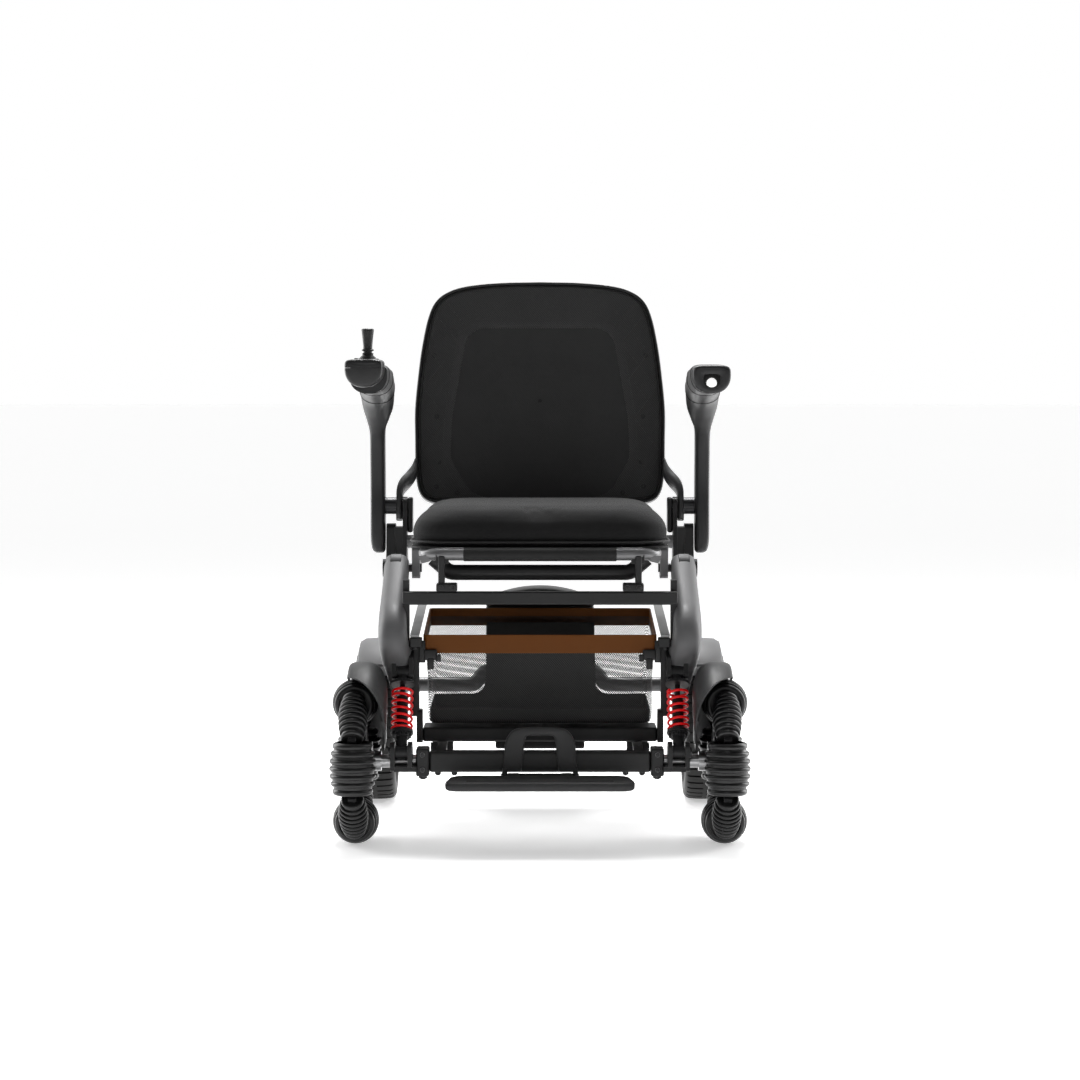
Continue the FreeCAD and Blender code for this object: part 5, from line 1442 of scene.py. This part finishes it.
# ---- seat -----------------------------------------------------------------------------------------
@dataclass
class SeatPad:
    """Foam seat cushion in black cloth, with its piping and the sleeve on the front tube."""

    front_radius: float = 0.058
    rear_radius: float = 0.044
    voxel: float = 0.0055
    pressure: float = 4.0
    frames: int = 20
    cap: float = 0.007
    # inset and height share of the pad's side, from under the edge up to the crown
    profile: tuple[tuple[float, float], ...] = (
        (0.034, 0.000), (0.014, 0.004), (0.0065, 0.030), (0.0045, 0.075), (0.0060, 0.125), (0.0032, 0.175),
        (0.0018, 0.28), (0.0022, 0.40), (0.0046, 0.53), (0.0095, 0.66), (0.0180, 0.77), (0.0310, 0.86),
        (0.0520, 0.930), (0.084, 0.965), (0.125, 0.982), (0.175, 0.990))

    def build(self) -> None:
        """Make the pad and what is sewn to it."""
        self.low, self.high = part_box("seat_cushion")
        pad = self.pad()
        self.swell(pad)
        subdivided(pad, 1)
        shade_smooth(pad)
        dress(pad, SEAT_FABRIC, "seat", ["seat_cushion"])
        self.piping()
        self.sleeve()

    def outline(self, inset: float, count: int = 200) -> np.ndarray:
        """Outline of the seat with a gently curved front.

        Args:
            inset: how far inside the edge.
            count: points round it.

        Returns:
            Rows of (x, y).
        """
        wide = self.high.x - inset
        front = self.low.y + inset
        rear = self.high.y - inset
        near = max(0.012, self.front_radius - inset * 0.55)
        far = max(0.012, self.rear_radius - inset * 0.4)
        corners = [(-wide, front), (wide, front), (wide - 0.006, rear), (-wide + 0.006, rear)]
        flat = rounded_outline(corners, [near, near, far, far], count)
        bow = 0.004 * (1 - (flat[:, 0] / wide) ** 2)
        flat[:, 1] -= np.where(flat[:, 1] < 0, bow - 0.004, 0.0)
        return flat

    def pad(self) -> bpy.types.Object:
        """Crowned closed pad.

        Returns:
            The pad.
        """
        height = self.high.z - self.low.z
        rings = []
        for inset, share in self.profile:
            flat = self.outline(inset)
            rings.append(np.column_stack([flat, np.full(len(flat), self.low.z + height * share)]))
        return mend(loft("seat_pad", rings), 180.0)

    def swell(self, pad: bpy.types.Object) -> None:
        """Blow the pad up a little as cloth over foam.

        Args:
            pad: the closed pad, whose mesh is replaced.
        """
        blank = pad.modifiers.new("remesh", "REMESH")
        blank.mode = "VOXEL"
        blank.voxel_size = self.voxel
        apply_modifiers(pad)
        rest = np.array([v.co for v in pad.data.vertices])
        cloth = pad.modifiers.new("cloth", "CLOTH")
        cloth.settings.use_pressure = True
        cloth.settings.uniform_pressure_force = self.pressure
        cloth.settings.effector_weights.gravity = 0.0
        cloth.settings.quality = 5
        scene = bpy.context.scene
        for step in range(1, self.frames + 1):
            scene.frame_set(step)
        apply_modifiers(pad)
        scene.frame_set(1)
        moved = np.array([v.co for v in pad.data.vertices]) - rest
        reach = np.linalg.norm(moved, axis=1)
        moved *= np.minimum(1.0, self.cap / np.maximum(reach, 1e-9))[:, None]
        low, high = np.array(self.low) + (0.001, 0.0, 0.0005), np.array(self.high) + (0.0, 0.0, 0.004)
        settled = np.clip(rest + moved, low, high)
        pad.data.vertices.foreach_set("co", settled.astype(np.float32).ravel())
        pad.data.update()

    def piping(self) -> None:
        """Piping along the seam near the bottom edge."""
        flat = self.outline(0.0042, 300)
        height = self.low.z + (self.high.z - self.low.z) * 0.125
        path = np.column_stack([flat, np.full(len(flat), height)])
        piece = mend(tube_mesh("seat_seam_piping", path, 0.0016, 8, closed=True), 180.0)
        dress(piece, SEAT_PIPING, "seat")

    def sleeve(self) -> None:
        """Cloth sleeve round the middle of the front seat tube, and the grey gussets beside it."""
        tube_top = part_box("seat_frame")[1].z
        hoop_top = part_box("seat_hoop")[1].z
        radius = 0.0107
        centre = Vector((0.0, self.low.y + 0.002, self.low.z - 0.011))
        profile = [(0.0096, -0.1175), (radius, -0.1165), (radius, 0.1165), (0.0096, 0.1175)]
        piece = mend(lathe("seat_tube_sleeve", profile, centre, SIDEWAYS), 40.0)
        dress(piece, SEAT_PIPING, "seat")
        parts = []
        for side in BOTH:
            outline = [(0.158, tube_top - 0.012), (0.187, tube_top - 0.012), (0.182, tube_top - 0.024),
                       (0.170, hoop_top - 0.012)]
            ring = np.array([(side * x, self.low.y + 0.006, z) for x, z in outline])
            parts.append(loft("gusset", [ring, ring + np.array([0.0, 0.004, 0.0])]))
        dress(mend(join("seat_gussets", parts)), SEAT_TUBE, "seat")


# ---- backrest -------------------------------------------------------------------------------------
@dataclass
class Backrest:
    """Backrest: thin rim, ribbed shell, net stretched over its front and the cover behind."""

    height: float = 0.382
    recline: float = math.radians(14.0)
    half_width: float = 0.209
    # half width and height, from the middle of the bottom edge to the middle of the top
    edge: tuple[tuple[float, float], ...] = (
        (0.0, 0.000), (0.090, 0.000), (0.160, 0.0005), (0.182, 0.003), (0.196, 0.012), (0.204, 0.030),
        (0.2075, 0.060), (0.2085, 0.110), (0.209, 0.160), (0.2045, 0.215), (0.198, 0.268), (0.188, 0.318),
        (0.175, 0.347), (0.153, 0.364), (0.120, 0.374), (0.065, 0.3795), (0.0, 0.381))
    rim_width: float = 0.0062
    points: int = 360

    def build(self) -> None:
        """Make every piece of the back."""
        low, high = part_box("back_frame")
        self.foot = Vector((0.0, low.y, high.z - self.height * math.cos(self.recline)))
        self.rim()
        self.front_net()
        self.shell()
        self.cover()
        self.screws()

    def place(self, rows: np.ndarray) -> np.ndarray:
        """Lean points of the back's own plane into the chair.

        Args:
            rows: (x, depth, up) from the foot of the back.

        Returns:
            Points in the chair's frame.
        """
        cos, sin = math.cos(self.recline), math.sin(self.recline)
        x, depth, up = rows[:, 0], rows[:, 1], rows[:, 2]
        return np.column_stack([x, self.foot.y + depth * cos + up * sin,
                                self.foot.z - depth * sin + up * cos])

    def outline(self, inset: float) -> np.ndarray:
        """Outer outline of the back.

        Args:
            inset: how far inside the edge, all round.

        Returns:
            Rows of (x, up).
        """
        flat = evenly_spaced(both_halves(smooth(self.edge, 10)), self.points)
        ahead = np.roll(flat, -1, axis=0) - np.roll(flat, 1, axis=0)
        ahead /= np.linalg.norm(ahead, axis=1)[:, None]
        return flat + np.column_stack([-ahead[:, 1], ahead[:, 0]]) * inset

    def window(self, grow: float) -> np.ndarray:
        """Outline of the shell's opening.

        Args:
            grow: how far outside it, all round.

        Returns:
            Rows of (x, up).
        """
        wide, top, low = 0.150 + grow, 0.121 + grow, 0.112 + grow
        corners = [(-low, 0.012 - grow), (low, 0.012 - grow), (wide, 0.078), (wide - 0.003, 0.150),
                   (top, 0.303 + grow), (-top, 0.303 + grow), (-wide + 0.003, 0.150), (-wide, 0.078)]
        return rounded_outline(corners, [0.045, 0.045, 0.050, 0.150, 0.036, 0.036, 0.150, 0.050], self.points)

    def layer(self, flat: np.ndarray, depth: float) -> np.ndarray:
        """Ring of the back's plane at a depth."""
        return self.place(np.column_stack([flat[:, 0], np.full(len(flat), depth), flat[:, 1]]))

    def rim(self) -> None:
        """Thin dark rim round the back."""
        rings = []
        for u, v in superellipse(18, self.rim_width / 2, 0.0095, 0.0095, 3.2):
            rings.append(self.layer(self.outline(self.rim_width / 2 - u), 0.011 + v))
        piece = mend(loft("back_rim_ring", rings, closed=True), 60.0)
        dress(piece, BACK_RIM, "backrest", ["back_frame"])
        flat = self.outline(self.rim_width + 0.0028)
        bead = mend(tube_mesh("back_net_binding", self.layer(flat, 0.0030), 0.0014, 8, closed=True), 180.0)
        dress(bead, SEAT_PIPING, "backrest")

    def dish(self, flat: np.ndarray, share: float, depth: float, bow: float) -> np.ndarray:
        """Ring of a panel that is bowed between its edges.

        Args:
            flat: outline of the panel.
            share: 1 at the edge, 0 in the middle.
            depth: depth at the edge.
            bow: how much deeper the middle is.

        Returns:
            The ring's points.
        """
        middle = np.array([0.0, self.height * 0.46])
        rows = middle + (flat - middle) * share
        return self.layer(rows, depth + bow * (1 - share ** 2.4))

    def front_net(self) -> None:
        """Net stretched over the front."""
        flat = self.outline(self.rim_width + 0.0005)
        shares = [1.0, 0.985, 0.95, 0.88, 0.78, 0.66, 0.52, 0.36, 0.18, 0.015]
        rings = [self.dish(flat, share, 0.0035, 0.0025) for share in shares]
        piece = loft("back_net", rings, caps=False)
        shade_smooth(piece)
        dress(piece, BACK_NET, "backrest", ["back_mesh"])

    def shell(self) -> None:
        """Moulded shell behind the net: flat ring, raised band round the opening, crossed ribs."""
        face, deep = 0.0105, 0.0150
        outer, inner = self.outline(self.rim_width * 0.9), self.window(0.0)
        nearest = int(np.argmin(np.linalg.norm(inner - outer[0] * 0.72, axis=1)))
        inner = np.roll(inner, -nearest, axis=0)
        rings = [self.layer(outer, face), self.layer(inner, face), self.layer(inner, deep),
                 self.layer(outer, deep)]
        parts = [loft("plate", rings, closed=True)]
        band_rings = []
        for u, v in superellipse(12, 0.0065, 0.0028, 0.0028, 3.0):
            band_rings.append(self.layer(self.window(0.0062 + u), 0.0088 + v))
        parts.append(loft("band", band_rings, closed=True))
        parts += self.ribs()
        piece = mend(join("back_shell", parts), 40.0)
        dress(piece, BACK_SHELL, "backrest")

    def ribs(self) -> list[bpy.types.Object]:
        """Crossed diagonal ribs in the side zones of the shell.

        Returns:
            The ribs.
        """
        parts = []
        pitch = 0.060
        lines = []
        for k in range(5):
            low = 0.030 + pitch * k
            lean = 0.010 if k < 3 else -0.012 * (k - 2)
            near, far = 0.158 + min(0.0, lean) * 1.2, 0.201 + min(0.0, lean)
            lines.append(((near, low), (far, low + pitch)))
            lines.append(((near, low + pitch), (far, low)))
        lines.append(((0.126, 0.308), (0.158, 0.352)))
        for side in BOTH:
            for (x0, z0), (x1, z1) in lines:
                run = np.array([x1 - x0, z1 - z0])
                wide = np.array([-run[1], run[0]]) / np.linalg.norm(run) * 0.0016
                a, b = np.array([x0, z0]), np.array([x1, z1])
                flat = np.array([a - wide, b - wide, b + wide, a + wide])
                flat[:, 0] *= side
                parts.append(loft("rib", [self.layer(flat, 0.0070), self.layer(flat, 0.0110)]))
        return parts

    def cover(self) -> None:
        """Cloth cover across the back of the shell."""
        flat = self.outline(self.rim_width * 0.8)
        shares = [1.0, 0.97, 0.9, 0.75, 0.55, 0.3, 0.05]
        rings = [self.dish(flat, share, 0.0165, 0.0015) for share in shares]
        piece = mend(panel("back_cover_cloth", rings), 180.0)
        dress(piece, BACK_COVER, "backrest")

    def screws(self) -> None:
        """Screws that hold the shell to the rim."""
        spots = [(0.186, 0.318), (0.181, 0.255), (0.176, 0.150), (0.172, 0.072), (0.140, 0.020),
                 (0.176, 0.030)]
        profile = [(0.0044, 0.0), (0.0044, 0.0012), (0.0034, 0.0024), (0.0012, 0.0024), (0.0010, 0.0012)]
        outwards = Vector((0.0, -math.cos(self.recline), math.sin(self.recline)))
        parts = []
        for x, up in spots:
            for side in BOTH:
                spot = self.place(np.array([[side * x * 0.98, 0.0100, up]]))[0]
                parts.append(lathe("screw", profile, Vector(spot), outwards, 20))
        dress(mend(join("back_screws", parts), 40.0), DARK_STEEL, "backrest")


@dataclass
class BackArms:
    """Grey blades that sweep from the side pins up to the edge of the back."""

    # y, z, inner x, outer x, half depth
    stations: tuple[tuple[float, ...], ...] = (
        (0.197, 0.4695, 0.2268, 0.2372, 0.009), (0.199, 0.4760, 0.2266, 0.2375, 0.013),
        (0.204, 0.490, 0.2266, 0.2376, 0.015),
        (0.209, 0.505, 0.2268, 0.2375, 0.016), (0.215, 0.517, 0.2240, 0.2370, 0.016),
        (0.223, 0.529, 0.2130, 0.2330, 0.015), (0.232, 0.541, 0.2050, 0.2230, 0.013),
        (0.240, 0.553, 0.2040, 0.2140, 0.011), (0.247, 0.566, 0.2040, 0.2085, 0.008))
    ring: int = 28
    power: float = 3.2

    def build(self) -> None:
        """Make both blades and the brace between them."""
        rows = smooth(self.stations, 6)
        blades = [loft("blade", swept_rings(rows, self.ring, self.power, side)) for side in BOTH]
        piece = mend(join("back_blades", blades), 60.0)
        dress(piece, BLADE_GREY, "backrest", ["back_arms"])
        self.brace()
        self.cheeks()

    def brace(self) -> None:
        """Crossbar behind the foot of the back that joins the blades."""
        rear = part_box("back_arms")[1].y
        run = np.array([(x, rear - 0.009, 0.556) for x in np.linspace(-0.207, 0.207, 9)])
        bar = tube_mesh("bar", run, 0.0085, 20)
        ends = [block("end", (side * 0.2065 - 0.003, 0.236, 0.545),
                      (side * 0.2065 + 0.003, rear, 0.567), 0.002) for side in BOTH]
        dress(mend(join("back_brace", [bar, *ends]), 40.0), FRAME_BLACK, "backrest")

    def cheeks(self) -> None:
        """Inner cheeks of the hinges, beside the cushion."""
        parts = []
        for side in BOTH:
            a, b = sorted((side * 0.2098, side * 0.2186))
            parts.append(block("cheek", (a, 0.190, 0.4485), (b, 0.224, 0.5060), 0.0032))
        dress(mend(join("hinge_cheeks", parts), 40.0), FRAME_BLACK, "seat")


# ---- armrests and control pod ---------------------------------------------------------------------
@dataclass
class Armrests:
    """Padded arms that run back and bend down in to their posts."""

    # y, z, middle x, half width, above, below, power of the top, power of the underside
    stations: tuple[tuple[float, ...], ...] = (
        (-0.215, 0.7105, 0.2615, 0.0290, 0.0155, 0.0280, 4.2, 2.2),
        (-0.120, 0.7095, 0.2620, 0.0290, 0.0160, 0.0275, 4.2, 2.2),
        (0.000, 0.7045, 0.2630, 0.0290, 0.0165, 0.0270, 4.0, 2.25),
        (0.080, 0.6955, 0.2635, 0.0285, 0.0175, 0.0260, 3.8, 2.3),
        (0.128, 0.6810, 0.2640, 0.0275, 0.0190, 0.0255, 3.6, 2.4),
        (0.158, 0.6610, 0.2645, 0.0250, 0.0205, 0.0250, 3.6, 2.6),
        (0.174, 0.6440, 0.2655, 0.0195, 0.0215, 0.0240, 4.0, 3.0),
        (0.184, 0.6300, 0.2665, 0.0148, 0.0220, 0.0235, 4.4, 3.6),
        (0.191, 0.6150, 0.2668, 0.0126, 0.0222, 0.0232, 5.0, 4.4),
        (0.198, 0.5850, 0.2670, 0.0121, 0.0225, 0.0230, 5.5, 5.5),
        (0.2045, 0.5300, 0.2670, 0.0121, 0.0225, 0.0230, 5.5, 5.5),
        (0.204, 0.4800, 0.2670, 0.0121, 0.0228, 0.0232, 5.5, 5.5),
        (0.204, 0.4450, 0.2670, 0.0121, 0.0228, 0.0232, 5.0, 5.0),
        (0.204, 0.4280, 0.2665, 0.0115, 0.0215, 0.0218, 4.4, 4.4),
        (0.204, 0.4190, 0.2655, 0.0100, 0.0180, 0.0185, 3.8, 3.8),
        (0.204, 0.4152, 0.2645, 0.0065, 0.0120, 0.0125, 3.0, 3.0))
    ring: int = 52

    def build(self) -> None:
        """Make both arms, the end plug and the seams."""
        for name, side in SIDES:
            rows = smooth(self.stations, 6)
            rings = [self.section(rows, i, 0.0) for i in range(len(rows))]
            if side > 0:
                rings = self.front_end(rows) + rings
            piece = loft(f"{name}_arm_shell", rings)
            if side < 0:
                flipped(piece)
            dress(mend(piece, 50.0), ARM_PLASTIC, f"{name}_arm", [f"{name}_armrest"])
            self.seams(name, side, rows)
        self.plug()

    def section(self, rows: np.ndarray, i: int, grow: float) -> np.ndarray:
        """Ring of the arm at a station.

        Args:
            rows: the smoothed stations.
            i: which one.
            grow: metres added all round.

        Returns:
            The ring's points on the right-hand side.
        """
        y, z, x, half, up, down, top_power, low_power = rows[i]
        across = across_run(rows, i)
        top = superellipse(self.ring, half + grow, up + grow, down + grow, top_power)
        low = superellipse(self.ring, half + grow, up + grow, down + grow, low_power)
        flat = np.where((np.arange(self.ring) < self.ring / 2)[:, None], top, low)
        return np.column_stack([x + flat[:, 0], y + across[0] * flat[:, 1], z + across[1] * flat[:, 1]])

    def front_end(self, rows: np.ndarray) -> list[np.ndarray]:
        """Rings of the rounded front end with the recess for the plug.

        Args:
            rows: the smoothed stations.

        Returns:
            The rings, from the recess outwards.
        """
        ring = self.section(rows, 0, 0.0)
        middle = np.array([rows[0][2], ring[0][1], rows[0][1] - 0.0085])
        rings = []
        for shrink, out in ((0.42, 0.0010), (0.44, -0.0030), (0.62, -0.0042), (0.84, -0.0040),
                            (0.95, -0.0026)):
            moved = middle + (ring - middle) * shrink
            moved[:, 1] += out
            rings.append(moved)
        return rings

    def plug(self) -> None:
        """Round pale plug in the front end of the right arm."""
        y, z, x = self.stations[0][:3]
        dark = [(0.0100, 0.0000), (0.0138, 0.0003), (0.0142, 0.0018), (0.0098, 0.0030), (0.0086, 0.0012)]
        face = [(0.0002, 0.0026), (0.0060, 0.0026), (0.0078, 0.0018), (0.0082, 0.0004), (0.0082, -0.0040)]
        centre = Vector((x - 0.0005, y - 0.0010, z - 0.0118))
        front = Vector((0.0, -1.0, 0.0))
        dress(mend(lathe("arm_plug_seat", dark, centre, front)), GROOVE_BLACK, "right_arm")
        # The plug's finish glows: painted light.
        dress(mend(lathe("arm_plug", face[::-1], centre, front)), PLUG_WHITE, "right_arm")

    def seams(self, name: str, side: float, rows: np.ndarray) -> None:
        """Thin dark joint lines round an arm.

        Args:
            name: which arm.
            side: -1 left, 1 right.
            rows: the smoothed stations.
        """
        parts = []
        for i in (5, 13, 22):
            loop = self.section(rows, i, 0.00005)
            parts.append(tube_mesh("seam", loop, 0.0007, 6, closed=True))
        piece = join(f"{name}_arm_seams", parts)
        if side < 0:
            flipped(piece)
        dress(mend(piece, 180.0), GROOVE_BLACK, f"{name}_arm")


@dataclass
class ControlPod:
    """Control pod at the front of the left arm, and its joystick."""

    half: float = 0.0288
    up: float = 0.0130
    down: float = 0.0290
    seam_gap: float = 0.0007
    stick_shift: float = 0.005
    # radius and height above the stick's pivot
    knob: tuple[tuple[float, float], ...] = (
        (0.0002, -0.0065), (0.0060, -0.0030), (0.0066, 0.0015), (0.0126, 0.0052), (0.0128, 0.0062),
        (0.0118, 0.0078), (0.0088, 0.0104), (0.0078, 0.0118), (0.0086, 0.0128), (0.0086, 0.0138),
        (0.0066, 0.0146), (0.0064, 0.0168), (0.0088, 0.0176), (0.0092, 0.0186), (0.0088, 0.0197),
        (0.0070, 0.0204), (0.0068, 0.0230), (0.0073, 0.0300), (0.0082, 0.0390), (0.0091, 0.0465),
        (0.0094, 0.0490), (0.0090, 0.0503), (0.0078, 0.0510), (0.0040, 0.0514), (0.0002, 0.0515))

    def build(self) -> None:
        """Make the pod's two halves, the plate round the stick and the stick."""
        low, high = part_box("joystick_pod")
        self.x = (low.x + high.x) / 2
        self.z = high.z - self.up
        self.front, self.rear = low.y, high.y
        upper = self.half_shell("pod_lid", True)
        lower = self.half_shell("pod_case", False)
        dress(upper, POD_PLASTIC, "left_arm", ["joystick_pod"])
        dress(lower, POD_PLASTIC, "left_arm")
        ring_low, ring_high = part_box("joystick_ring")
        centre = (ring_low + ring_high) / 2 + Vector((self.stick_shift, 0.0, 0.0))
        plate = [(0.0124, 0.0036), (0.0160, 0.0046), (0.0166, 0.0052), (0.0160, 0.0060), (0.0138, 0.0062),
                 (0.0128, 0.0050)]
        dress(mend(lathe("stick_plate", plate, centre, UPWARDS)), GREY_METAL, "left_arm")
        stick = mend(lathe("joystick_knob", self.knob, centre, UPWARDS), 50.0)
        dress(stick, STICK_RUBBER, "stick", ["joystick_stick"])
        self.catch()

    def half_shell(self, name: str, top: bool) -> bpy.types.Object:
        """Upper or lower half of the pod, split at the widest line.

        Args:
            name: the piece's name.
            top: which half.

        Returns:
            The object.
        """
        angle = np.linspace(0.0, math.pi, 33) + (0.0 if top else math.pi)
        power = 4.5 if top else 2.25
        cos, sin = np.cos(angle), np.sin(angle)
        flat = np.column_stack([self.half * np.sign(cos) * np.abs(cos) ** (2 / power),
                                (self.up if top else self.down) * np.sign(sin) * np.abs(sin) ** (2 / power)])
        flat[:, 1] += self.seam_gap / 2 if top else -self.seam_gap / 2
        rings = []
        for shrink, y in ((0.25, 0.0), (0.80, 0.0004), (0.93, 0.0020), (0.985, 0.0050), (1.0, 0.0090),
                          (1.0, self.rear - self.front - 0.001), (0.97, self.rear - self.front + 0.004)):
            rows = flat * shrink
            rings.append(np.column_stack([self.x + rows[:, 0], np.full(len(rows), self.front + y),
                                          self.z + rows[:, 1]]))
        return mend(loft(name, rings), 50.0)

    def catch(self) -> None:
        """Catch under the pod, where it clips on to the arm."""
        angle = np.radians(np.linspace(212.0, 328.0, 25))
        path = np.column_stack([self.x + (self.half - 0.002) * np.cos(angle), np.full(25, self.rear + 0.004),
                                self.z + (self.down + 0.0005) * np.sin(angle)])
        piece = mend(tube_mesh("pod_catch", path, 0.0018, 8), 60.0)
        dress(piece, GROOVE_BLACK, "left_arm")


def main() -> None:
    """Build the chair's looks in order."""
    logging.basicConfig(level=logging.INFO, format="%(levelname)s %(message)s")
    for part in (FrameDressing(), SideBeams(), ShockSprings(), FrontGuards(), RearFenders(),
                 Footrest(), Battery(), Basket(), SeatPad(), Backrest(), BackArms(),
                 Armrests(), ControlPod(), Studio()):
        part.build()


if __name__ == "__main__":
    main()
